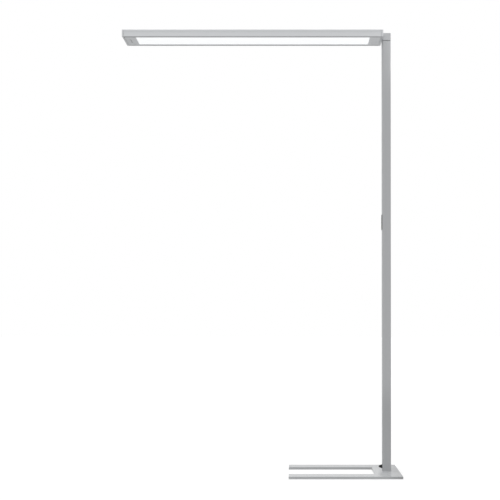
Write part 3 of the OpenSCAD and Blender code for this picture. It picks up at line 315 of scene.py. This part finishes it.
def powder_coat(name, level, metallic=0.3, roughness=0.42, coat=0.08, tones=()):
    """Powder paint: orange peel, fine flakes, faint scuffs, rubbed edges, and dust on top.

    tones are pairs: a function that gives the share of a second tone, and that tone's level.
    """
    paint = Finish(name, {"Metallic": metallic, "Coat Weight": coat, "Coat Roughness": 0.2})
    peel = paint.grain(0.0014, detail=3)
    flake = paint.cells(0.0004, output="Color")
    cloud = paint.grain(0.12, detail=3)
    scuff = paint.grain(0.002, stretch=(14, 1, 1), detail=2).between(0.68, 0.8)
    worn = paint.worn_edge(0.01)
    dust = paint.facing(1) * paint.grain(0.05, detail=5).between(0.4, 0.75)
    base = paint.blend(cloud, silver(level * 0.96), silver(level * 1.03))
    for share, second_level in tones:
        base = paint.blend(share(paint), base, silver(second_level))
    base = paint.blend(flake * 0.12, base, silver(min(level * 1.35, 0.93)))
    base = paint.blend(worn * 0.5, base, silver(level * 0.8))
    base = paint.blend(dust * 0.12, base, tone(0.5, (0.01, 0.005, -0.01)))
    paint.feed(Base_Color=base, Roughness=roughness + 0.1 * peel + 0.06 * cloud + 0.12 * scuff
               - 0.08 * worn + 0.15 * dust)
    paint.bump(peel + 0.15 * scuff, 0.00006)
    return paint


def shaded_right_end(paint):
    """The share of the plate's right end, darkened with painted shade."""
    return paint.axis("X").between(-0.03, 0.06)


def shaded_far_side(paint):
    """The share of the plate's far side, only a little darkened with painted shade."""
    return 0.3 * paint.axis("Y").between(0.02, 0.1)


base_paint = powder_coat("silver powder paint", 0.535, coat=0.38,
                         tones=[(shaded_right_end, 0.36), (shaded_far_side, 0.38)])
broken_edges("base_plate", base_paint, "stand", radius=0.0009, steps=3)

# ---- Pads under the plate ----
# Die-cut rubber glued under the plate: one long pad under the heel and two round ones under each prong.
# They lift the steel off the floor by their thickness and pick up dust along their edges.


def rubber(name, level, dust=0.35):
    """Matt black rubber with a fine grain and grey dust on its edges and in its hollows."""
    skin = Finish(name, {"Specular IOR Level": 0.3})
    grain = skin.grain(0.0006, detail=3)
    film = skin.grain(0.02, detail=4).between(0.45, 0.75)
    worn = skin.worn_edge(0.004)
    base = skin.blend(film * dust, tone(level), tone(level * 3 + 0.04))
    base = skin.blend(worn * 0.5, base, tone(level * 4 + 0.05))
    skin.feed(Base_Color=base, Roughness=0.7 + 0.15 * grain + 0.1 * film)
    skin.bump(grain, 0.00005)
    return skin


pad_rubber = rubber("black pad rubber", 0.045)
for pads in ("heel_pad", "prong_pads"):
    broken_edges(pads, pad_rubber, "stand", radius=0.0003)

# ---- Foot block, bearing block and bracket ----
# Milled aluminium. The foot block fills the mast's lower end and takes the screws from the plate, and the
# bearing block fills its upper end and holds the swivel's bushes. The bracket is an angle with two gussets
# inside the head, bolted to the elbow.


def milled(name, colour, mark=0.0008):
    """Bare metal with the fine parallel marks of a milling cutter and a thin dull film."""
    metal = Finish(name, {"Metallic": 1.0})
    cut = metal.grain(mark, stretch=(30, 1, 30), detail=2)
    film = metal.grain(0.015, detail=4)
    darker = tuple(0.82 * part for part in colour)
    metal.feed(Base_Color=metal.blend(film, (*colour, 1), (*darker, 1)),
               Roughness=0.28 + 0.14 * cut + 0.12 * film)
    metal.bump(cut, 0.00002)
    return metal


dress(milled("milled aluminium", (0.62, 0.62, 0.63)), "mast_foot", "bearing_block", "head_bracket")

# ---- Mast ----
# Square aluminium tube, 38 mm across its flats, extruded with round edges, cut to length and satin anodised.
# Extrusion leaves long fine streaks. The tube is drawn darker at its foot and paler at its top only to
# follow the photograph's shading.


def anodised(name, level, along, roughness=0.36, tones=()):
    """Satin anodised aluminium: streaks drawn out along the extrusion, and brighter worn edges.

    tones are pairs: a function that gives the share of a second tone, and that tone's level.
    """
    skin = Finish(name, {"Metallic": 0.35, "Coat Weight": 0.05, "Coat Roughness": 0.3})
    stretch = tuple(400 if axis == along else 1 for axis in "XYZ")
    streak = skin.grain(0.0011, stretch=stretch, detail=3)
    band = skin.grain(0.009, stretch=stretch, detail=1)
    cloud = skin.grain(0.25, detail=2)
    worn = skin.worn_edge(0.006)
    base = skin.blend(streak * 0.6 + band * 0.4, silver(level * 0.965), silver(level * 1.03))
    base = skin.blend(cloud * 0.3, base, silver(level * 0.97))
    for share, second_level in tones:
        base = skin.blend(share(skin), base, silver(second_level))
    base = skin.blend(worn * 0.45, base, silver(min(level * 1.25, 0.92)))
    skin.feed(Base_Color=base, Roughness=roughness + 0.1 * streak + 0.06 * cloud - 0.05 * worn)
    skin.bump(streak * 0.7 + band * 0.3, 0.000012)
    return skin


def shaded_foot_stretch(skin):
    """The share of the mast's foot, darkened with painted shade."""
    return 0.8 * skin.axis("Z").between(0.44, 0.26)


def lit_top_stretch(skin):
    """The share of the mast's top, made paler with painted light."""
    return skin.axis("Z").between(1.83, 1.92)


mast_skin = anodised("satin anodised mast", 0.53, along="Z",
                     tones=[(shaded_foot_stretch, 0.42), (lit_top_stretch, 0.6)])
broken_edges("mast", mast_skin, "stand", radius=0.0003)

# ---- Screws ----
# Zinc-plated steel screws with hexagon sockets: four up through the plate, four in the mast's back, two in
# each end cap, and those inside the swivel, the head and the control panel. The stop pin is plated as well.


def zinc(name, level):
    """Zinc plating over turned metal: small bright and dull crystals, a cloudy film and faint tool marks."""
    plate = Finish(name, {"Metallic": 1.0})
    crystal = plate.cells(0.0006, output="Color")
    film = plate.grain(0.004, detail=3)
    tool_mark = plate.grain(0.0018, detail=1)
    base = plate.blend(crystal * 0.5, tone(level * 0.85), tone(level * 1.1, (0, 0.004, 0.012)))
    plate.feed(Base_Color=plate.blend(film * 0.3, base, tone(level * 0.6)),
               Roughness=0.24 + 0.14 * crystal + 0.12 * film)
    plate.bump(tool_mark, 0.00001)
    return plate


zinc_plate = zinc("zinc-plated steel", 0.58)
dress(zinc_plate, "base_screws", "flange_screws", "collar_screw", "stop_pin", "board_screws",
      "driver_screws", "bracket_screws", "elbow_bolts")
broken_edges("mast_screws", zinc_plate, "stand", radius=0.00012)
broken_edges("cap_screws", zinc_plate, "head", radius=0.00012)

# ---- Cable gland ----
# Moulded black rubber bend relief, pushed through the mast's left face into the foot block.
# Its cone is ribbed so that a cord in its bore can bend without a kink.


def turned_shape(outline, origin, steps=48):
    """A closed ring turned about the line along -X through origin, from points (reach, radius)."""
    shape = bmesh.new()
    rings = []
    for step in range(steps):
        angle = 2 * math.pi * step / steps
        rings.append([shape.verts.new((
            origin.x - reach, origin.y + radius * math.cos(angle), origin.z + radius * math.sin(angle)))
            for reach, radius in outline])
    for step in range(steps):
        ring, following = rings[step], rings[(step + 1) % steps]
        for i in range(len(outline)):
            j = (i + 1) % len(outline)
            shape.faces.new((ring[i], ring[j], following[j], following[i]))
    bmesh.ops.recalc_face_normals(shape, faces=shape.faces)
    return shape


def gland_outline(low, high, bore, shank):
    """Shank, flange lip, ribbed cone and rounded tip, as (reach from the mast's face, radius)."""
    reach, inner = mast_left - low.x, mast_left - high.x
    lip = (high.z - low.z) / 2
    lip_width = 0.0018
    lip_step = 0.0009
    tip_radius = 0.0044
    ribs, points_a_rib = 5, 8
    rib_deep = 0.0006
    ribs_start, ribs_end = lip_width + 0.0006, reach - 0.0012
    round_off, small_round, tip_round = 0.0004, 0.0003, 0.0005
    outline = [(inner, bore), (inner, shank - round_off), (inner + round_off, shank), (0, shank),
               (0, lip - small_round), (small_round, lip)]
    outline += [(lip_width - round_off, lip), (lip_width, lip - round_off)]
    for i in range(ribs * points_a_rib + 1):
        share = i / (ribs * points_a_rib)
        cone = lip - lip_step + share * (tip_radius - lip + lip_step)
        groove = rib_deep * (0.5 - 0.5 * math.cos(2 * math.pi * i / points_a_rib))
        outline.append((ribs_start + share * (ribs_end - ribs_start), cone - groove))
    outline += [(reach - tip_round, tip_radius), (reach, tip_radius - round_off),
                (reach, bore + small_round), (reach - small_round, bore)]
    return outline


mast_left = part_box("mast")[0].x
gland_low, gland_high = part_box("cable_gland")
gland_middle = Vector((mast_left, 0, (gland_low.z + gland_high.z) / 2))
gland_rubber = rubber("black gland rubber", 0.02, dust=0.2)
as_piece("bend_relief", turned_shape(gland_outline(gland_low, gland_high, bore=0.0034, shank=0.006),
                                     gland_middle),
         [gland_rubber], "stand", ["cable_gland"])

# ---- Terminal block and cables in the mast ----
# A moulded terminal block on the foot block joins the white cable up the mast to a supply cord, which isn't
# made here. A thinner cable runs up from the control panel, and a lead from the elbow's connector to the
# driver. All three are round sheathed cables, and the connectors at their ends are moulded in white plastic.


def moulded(name, colour, roughness=0.45, spark=0.0005):
    """Moulded plastic with the fine spark-eroded texture of its mould and slight flow marks."""
    plastic = Finish(name, {"Specular IOR Level": 0.4})
    texture = plastic.grain(spark, detail=3)
    flow = plastic.grain(0.03, stretch=(1, 1, 3), detail=3)
    worn = plastic.worn_edge(0.003)
    paler = tuple(min(part * 1.12 + 0.01, 1) for part in colour)
    rubbed = tuple(min(part * 1.5 + 0.05, 1) for part in colour)
    base = plastic.blend(flow, (*colour, 1), (*paler, 1))
    plastic.feed(Base_Color=plastic.blend(worn * 0.5, base, (*rubbed, 1)),
                 Roughness=roughness + 0.12 * texture + 0.06 * flow - 0.08 * worn)
    plastic.bump(texture, 0.00003)
    return plastic


def sheath(name, colour, along="Z"):
    """Smooth extruded cable sheath with faint ripples along its run."""
    skin = Finish(name, {"Specular IOR Level": 0.45})
    ripple = skin.grain(0.004, stretch=tuple(5 if axis == along else 1 for axis in "XYZ"))
    smudge = skin.grain(0.02, detail=4)
    dull = tuple(part * 0.86 for part in colour)
    skin.feed(Base_Color=skin.blend(smudge.between(0.4, 0.7), (*colour, 1), (*dull, 1)),
              Roughness=0.38 + 0.14 * smudge)
    skin.bump(ripple, 0.0002)
    return skin


dress(moulded("white connector plastic", (0.8, 0.79, 0.75)), "terminal_block", "board_plug",
      "elbow_connector")
dress(sheath("white cable sheath", (0.78, 0.78, 0.76)), "mast_cable", "control_cable", "driver_lead")

# ---- Control panel ----
# Moulded black face with a tub behind it, clipped into the window in the mast's left face at hand height.
# It is a finely textured plastic, a little polished along its rim where fingers find it.

panel_plastic = moulded("black panel plastic", (0.035, 0.037, 0.04), roughness=0.42)
broken_edges("panel_housing", panel_plastic, "stand", radius=0.0004, steps=3)

# ---- Buttons ----
# Three moulded keys, dark grey, each sprung by a switch on the board behind it. A plus, an upright bar
# and a minus are sunk into their faces and filled with pale paint.


def paint_marks(piece, finish, sunk=0.00025):
    """Gives the floors of the sunk marks, which lie just behind a key's face, their own paint."""
    mesh = piece.data
    mesh.materials.append(finish.material)
    face_x = min(vertex.co.x for vertex in mesh.vertices)
    for face in mesh.polygons:
        behind = face.center.x - face_x
        if face.normal.x < -0.9 and sunk < behind < 2 * sunk:
            face.material_index = 1


key_plastic = moulded("dark grey key plastic", (0.07, 0.072, 0.076), roughness=0.36, spark=0.0008)
mark_paint = moulded("pale mark paint", (0.7, 0.71, 0.71), roughness=0.55, spark=0.0004)
for key, key_body in (("button_up", "up_key"), ("button_power", "power_key"), ("button_down", "down_key")):
    paint_marks(broken_edges(key, key_plastic, key_body, radius=0.00012), mark_paint)

# ---- Switch board ----
# Green circuit board with three push switches, held by two small screws behind the keys. Copper tracks show
# as paler green lines under the solder mask. The sensor's board is made in the same way.


def circuit_board(name, mask, track, pitch=0.0025):
    """A circuit board's solder mask with the raised lines of the tracks under it."""
    board = Finish(name, {"Specular IOR Level": 0.6})
    lines = board.node("TexBrick", {"offset": 0.5, "squash": 1.0}, {
        "Vector": board.place, "Scale": 1 / pitch, "Mortar Size": 0.06, "Mortar Smooth": 0.3,
        "Brick Width": 1.7, "Row Height": 0.6}, output="Fac")
    speck = board.grain(0.003, detail=2)
    base = board.blend(lines, (*mask, 1), (*track, 1))
    board.feed(Base_Color=board.blend(speck * 0.2, base, (0.7, 0.7, 0.66, 1)),
               Roughness=0.25 + 0.15 * speck)
    board.bump(lines, 0.00004)
    return board


dress(circuit_board("green circuit board", (0.02, 0.13, 0.06), (0.05, 0.24, 0.11)),
      "switch_board", "sensor_board")

# ---- Swivel ----
# A hollow turned steel shaft, flanged inside the elbow, turns in two sintered bronze bushes between plastic
# washers. A collar with a set screw holds it down, and the stop pin meets the ends of the collar's groove
# just past both ends of the swing.

dress(milled("turned steel", (0.5, 0.5, 0.51), mark=0.0004), "swivel_shaft", "stop_collar")


def sintered(name, colour):
    """Pressed and sintered bronze: a fine open grain, dark with oil in its pores."""
    metal = Finish(name, {"Metallic": 1.0})
    pore = metal.cells(0.0005).between(0.15, 0.5)
    oil = metal.grain(0.006, detail=3)
    dark = tuple(part * 0.45 for part in colour)
    metal.feed(Base_Color=metal.blend(pore, (*dark, 1), (*colour, 1)), Roughness=0.3 + 0.2 * oil)
    metal.bump(pore, 0.00003)
    return metal


dress(sintered("sintered bronze", (0.6, 0.42, 0.2)), "upper_bush", "lower_bush")
dress(moulded("pale washer plastic", (0.5, 0.5, 0.5), roughness=0.35, spark=0.0003),
      "swivel_washer", "thrust_washer")

# ---- Elbow ----
# Die-cast box of the mast's own section, painted satin silver. It is screwed to the shaft's flange, turns
# with it and carries the head on its left face. A flat lid lies in a step in its top.

cast_paint = powder_coat("satin paint on castings", 0.6, roughness=0.36)
broken_edges("elbow", cast_paint, "head", radius=0.0004, steps=3)
broken_edges("elbow_lid", cast_paint, "head", radius=0.0003)

# ---- Head profile ----
# One aluminium extrusion along the whole head, satin anodised: rims and light chamber below, driver and
# indirect light above, and a fine groove along its front and back. It is drawn paler below the groove and
# darker underneath only to follow the photograph's shading.

groove_below_top = 0.012
groove_half = 0.001
groove_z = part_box("head_frame")[1].z - groove_below_top


def lit_below_groove(skin):
    """The share of the profile's sides below the groove, a little paler with painted light."""
    return 0.7 * skin.axis("Z").between(groove_z + groove_half, groove_z - groove_half)


def underside(skin):
    """The share of the surfaces that face down, darkened with painted shade."""
    return skin.facing(-1)


head_skin = anodised("satin anodised head", 0.77, along="X", roughness=0.34,
                     tones=[(lit_below_groove, 0.82), (underside, 0.52)])
broken_edges("head_frame", head_skin, "head", radius=0.0002)

# ---- End caps and end plates ----
# Die-cast caps close both ends, two screws each, with a thin shadow line between cap and profile.
# Flat plates close the underside between the caps and the lit sheet.

cap_paint = powder_coat("satin paint on caps", 0.78, roughness=0.36)
for cap in ("end_cap_left", "end_cap_right"):
    broken_edges(cap, cap_paint, "head", radius=0.0003)
plate_skin = anodised("satin anodised plates", 0.8, along="X", roughness=0.38)
for plate in ("end_plate_left", "end_plate_right"):
    broken_edges(plate, plate_skin, "head", radius=0.00025)

# ---- Diffuser ----
# Opal acrylic sheet that lies on the rims, lit by the light guide above it. Its face has a fine pattern of
# low pyramids, and it is a little brighter along both long sides, near the diodes.

diffuser_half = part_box("diffuser")[1].y
pyramid_pitch = 0.0016
opal = Finish("opal acrylic, lit", {"Specular IOR Level": 0.35, "Emission Strength": 0.8})
pyramids = (opal.axis("X") * (math.pi / pyramid_pitch)).wave().size().smallest(
    (opal.axis("Y") * (math.pi / pyramid_pitch)).wave().size())
near_side = opal.axis("Y").size().between(0.4 * diffuser_half, diffuser_half)
soft_cloud = opal.grain(0.2, detail=1)
opal.feed(Base_Color=opal.blend(soft_cloud, tone(0.56), tone(0.575, (0, 0, 0.003))),
          Emission_Color=opal.blend(near_side * 0.8 + soft_cloud * 0.2, (0.965, 0.98, 0.99, 1),
                                    (0.985, 0.995, 1, 1)),
          Roughness=0.42 + 0.12 * pyramids)
opal.bump(pyramids, 0.00005)
dress(opal, "diffuser")

# ---- Light guide and reflector ----
# A clear acrylic sheet carries the light of the edge strips along, and white dots printed on it let it out
# downward. A white foil above it sends the rest back.

guide = Finish("dotted light guide", {"IOR": 1.49, "Specular IOR Level": 0.5})
dots = guide.cells(0.0022).between(0.32, 0.24)
scratch = guide.grain(0.001, stretch=(20, 1, 1), detail=2)
guide.feed(Base_Color=guide.blend(dots, (0.72, 0.8, 0.82, 1), (0.95, 0.95, 0.95, 1)),
           Roughness=0.06 + 0.4 * dots + 0.08 * scratch)
guide.bump(dots, 0.00002)
dress(guide, "light_guide")

foil = Finish("white reflector foil", {"Specular IOR Level": 0.4})
crease = foil.grain(0.05, detail=4)
foil.feed(Base_Color=foil.blend(crease, tone(0.9), tone(0.84)), Roughness=0.5 + 0.15 * crease)
foil.bump(crease, 0.0002)
dress(foil, "reflector_sheet")

# ---- Edge strips ----
# Narrow white circuit boards that stand on the rims along the front and back walls. Their diodes face the
# light guide's edges: each is a white housing with a round yellow lens, soldered to two tinned pads.

diode_pitch = 0.025
diode_side = 0.0022
board_face, case_face, lens_face, pad_face = range(4)


def box_between(shape, low, high, finish):
    """Adds a box between two corners, with the numbered finish on its faces."""
    corners = [shape.verts.new((x, y, z)) for x in (low[0], high[0]) for y in (low[1], high[1])
               for z in (low[2], high[2])]
    for sides in ((0, 1, 3, 2), (4, 6, 7, 5), (0, 4, 5, 1), (2, 3, 7, 6), (0, 2, 6, 4), (1, 5, 7, 3)):
        shape.faces.new([corners[i] for i in sides]).material_index = finish


def dome(shape, middle, radius, height, finish, steps=12, rings=3):
    """Adds a low closed dome that stands on middle and bulges upward, with the numbered finish."""
    last = None
    for ring in range(rings):
        tilt = math.pi / 2 * ring / rings
        row = []
        for step in range(steps):
            turn = 2 * math.pi * step / steps
            row.append(shape.verts.new(Vector(middle) + Vector((
                radius * math.cos(tilt) * math.cos(turn), radius * math.cos(tilt) * math.sin(turn),
                height * math.sin(tilt)))))
        if last:
            for i in range(steps):
                j = (i + 1) % steps
                shape.faces.new((last[i], last[j], row[j], row[i])).material_index = finish
        else:
            shape.faces.new(row[::-1]).material_index = finish
        last = row
    top = shape.verts.new(Vector(middle) + Vector((0, 0, height)))
    for i in range(steps):
        shape.faces.new((last[i], last[(i + 1) % steps], top)).material_index = finish


def diode_board(shape, length, width, board, diode_high, diodes_at=0):
    """Adds one board, drawn lying flat along X round the origin, with its diodes up."""
    count = int((length - diode_pitch) // diode_pitch) + 1
    pad_long, pad_wide, pad_high = 0.0014, 0.0018, 0.00012
    case_high, lens_high = 0.7 * diode_high, 0.3 * diode_high
    lens_radius = 0.42 * diode_side
    box_between(shape, (-length / 2, -width / 2, 0), (length / 2, width / 2, board), board_face)
    for number in range(count):
        x = (number - (count - 1) / 2) * diode_pitch
        for side in (-1, 1):
            pad_x = x + side * (diode_side / 2 + pad_long / 2)
            box_between(shape, (pad_x - pad_long / 2, diodes_at - pad_wide / 2, board),
                        (pad_x + pad_long / 2, diodes_at + pad_wide / 2, board + pad_high), pad_face)
        box_between(shape, (x - diode_side / 2, diodes_at - diode_side / 2, board),
                    (x + diode_side / 2, diodes_at + diode_side / 2, board + case_high), case_face)
        dome(shape, (x, diodes_at, board + case_high), lens_radius, lens_high, lens_face)


def turned_and_moved(first, shape, turn, place):
    """Turns the vertices from number first on about the origin, and then moves them to place."""
    shape.verts.ensure_lookup_table()
    fresh = shape.verts[first:]
    bmesh.ops.rotate(shape, verts=fresh, matrix=turn)
    bmesh.ops.translate(shape, verts=fresh, vec=place)


strip_board = circuit_board("white light board", (0.78, 0.78, 0.74), (0.86, 0.86, 0.8), pitch=0.006)
diode_case = moulded("white diode housing", (0.82, 0.82, 0.8), roughness=0.3, spark=0.0002)
phosphor = Finish("yellow phosphor lens, lit", {"Specular IOR Level": 0.5, "Emission Strength": 1.4})
glow_spot = phosphor.grain(0.0006, detail=2)
phosphor.feed(Base_Color=phosphor.blend(glow_spot, (0.8, 0.7, 0.2, 1), (0.75, 0.6, 0.15, 1)),
              Emission_Color=phosphor.blend(glow_spot, (1, 0.97, 0.86, 1), (1, 0.92, 0.72, 1)),
              Roughness=0.2 + 0.1 * glow_spot)
phosphor.bump(glow_spot, 0.00001)
tinned = zinc("tinned pads", 0.75)
board_finishes = [strip_board, diode_case, phosphor, tinned]

strip_high, strip_thick, strip_diode = 0.005, 0.001, 0.0008
guide_z = sum(corner.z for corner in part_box("light_guide")) / 2
for strip, facing in (("edge_strip_front", 1), ("edge_strip_rear", -1)):
    strip_low, strip_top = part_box(strip)
    strip_middle = (strip_low + strip_top) / 2
    wall_y = strip_low.y if facing > 0 else strip_top.y
    shape = bmesh.new()
    diode_board(shape, strip_top.x - strip_low.x, strip_high, strip_thick, strip_diode,
                diodes_at=-facing * (guide_z - strip_middle.z))
    turned_and_moved(0, shape, Matrix.Rotation(-facing * math.pi / 2, 3, "X"),
                     (strip_middle.x, wall_y, strip_middle.z))
    as_piece(strip + "_made", shape, board_finishes, "head", [strip])

# ---- Upper light boards ----
# Two white circuit boards on the floor of the upper chamber, for the light to the ceiling, with the same
# diodes in a row along the middle of each.

boards_low, boards_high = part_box("upper_light_boards")
board_wide, board_thick, board_diode = 0.018, 0.0016, 0.0008
board_long = boards_high.x - boards_low.x
shape = bmesh.new()
for side in (-1, 1):
    first = len(shape.verts)
    diode_board(shape, board_long, board_wide, board_thick, board_diode)
    turned_and_moved(first, shape, Matrix.Identity(3), (
        (boards_low.x + boards_high.x) / 2, side * (boards_high.y - board_wide / 2), boards_low.z))
as_piece("upper_boards_made", shape, board_finishes, "head", ["upper_light_boards"])

# ---- Driver ----
# The power supply for all the diodes, in a folded steel case painted white. Two screws through its tabs hold
# it down in the upper chamber, at the mast's end of the head.

dress(powder_coat("white case paint", 0.78, metallic=0.0, roughness=0.5), "driver")

# ---- Leads in the head ----
# Thin single wires in smooth sheaths: four red ones from the driver to the two edge strips and the two upper
# boards, and a blue one from the sensor's board to the driver.

dress(sheath("red lead sheath", (0.5, 0.05, 0.04), along="X"), "light_leads")
dress(sheath("blue lead sheath", (0.05, 0.12, 0.42), along="X"), "sensor_lead")

# ---- Covers ----
# Two sheets lie on the profile's ledges and close the top: clear acrylic over the upper lights, extruded
# with fine round ribs on its underside, and plain aluminium over the driver.


def ribbed_sheet(low, high, pitch, deep):
    """A flat-topped sheet along X with round ribs below, between two corners."""
    points_a_rib = 6
    count = round((high.y - low.y) / pitch)
    steps = count * points_a_rib
    below = []
    for i in range(steps + 1):
        y = low.y + (high.y - low.y) * i / steps
        rise = deep * (1 - abs(math.sin(math.pi * i / points_a_rib)))
        below.append((y, low.z + rise))
    outline = below + [(high.y, high.z), (low.y, high.z)]
    shape = bmesh.new()
    ends = [[shape.verts.new((x, y, z)) for y, z in outline] for x in (low.x, high.x)]
    for i in range(len(outline)):
        j = (i + 1) % len(outline)
        shape.faces.new((ends[0][i], ends[0][j], ends[1][j], ends[1][i]))
    shape.faces.new(ends[0])
    shape.faces.new(ends[1][::-1])
    bmesh.ops.recalc_face_normals(shape, faces=shape.faces)
    return shape


cover_clear = Finish("clear ribbed acrylic", {
    "IOR": 1.49, "Transmission Weight": 0.92, "Specular IOR Level": 0.5})
dust = cover_clear.facing(1) * cover_clear.grain(0.012, detail=5).between(0.4, 0.9)
hairline = cover_clear.grain(0.0015, stretch=(12, 1, 1), detail=2)
cover_clear.feed(Base_Color=cover_clear.blend(dust, (0.95, 0.975, 0.98, 1), (0.9, 0.915, 0.915, 1)),
                 Roughness=0.08 + 0.12 * dust + 0.06 * hairline)
cover_clear.bump(hairline, 0.00001)
as_piece("ribbed_cover", ribbed_sheet(*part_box("top_cover"), pitch=0.003, deep=0.0006), [cover_clear],
         "head", ["top_cover"])
broken_edges("driver_cover", plate_skin, "head", radius=0.0003)

# ---- Sensor ----
# Silver-grey plastic window let into the left end plate, with a darker ribbed lens bar in it. It is read as
# a presence and daylight sensor. The tones of both follow the photograph.

window_plastic = Finish("grey window plastic", {"Metallic": 0.3, "Coat Weight": 0.1, "Coat Roughness": 0.2})
haze = window_plastic.grain(0.01, detail=3)
window_plastic.feed(Base_Color=window_plastic.blend(haze, silver(0.72), silver(0.76)),
                    Roughness=0.36 + 0.12 * haze)
window_plastic.bump(haze, 0.00002)
broken_edges("sensor_window", window_plastic, "head", radius=0.0003)

lens_pitch = 0.0007
lens = Finish("ribbed lens", {"Metallic": 0.3})
ridges = (lens.axis("Y") * (math.pi / lens_pitch)).wave().size()
# The lens is drawn darker in the grooves between its ridges, which is painted shade.
lens.feed(Base_Color=lens.blend(ridges, silver(0.5), silver(0.62)), Roughness=0.18 + 0.1 * ridges)
lens.bump(ridges, 0.0001)
dress(lens, "sensor_lens")
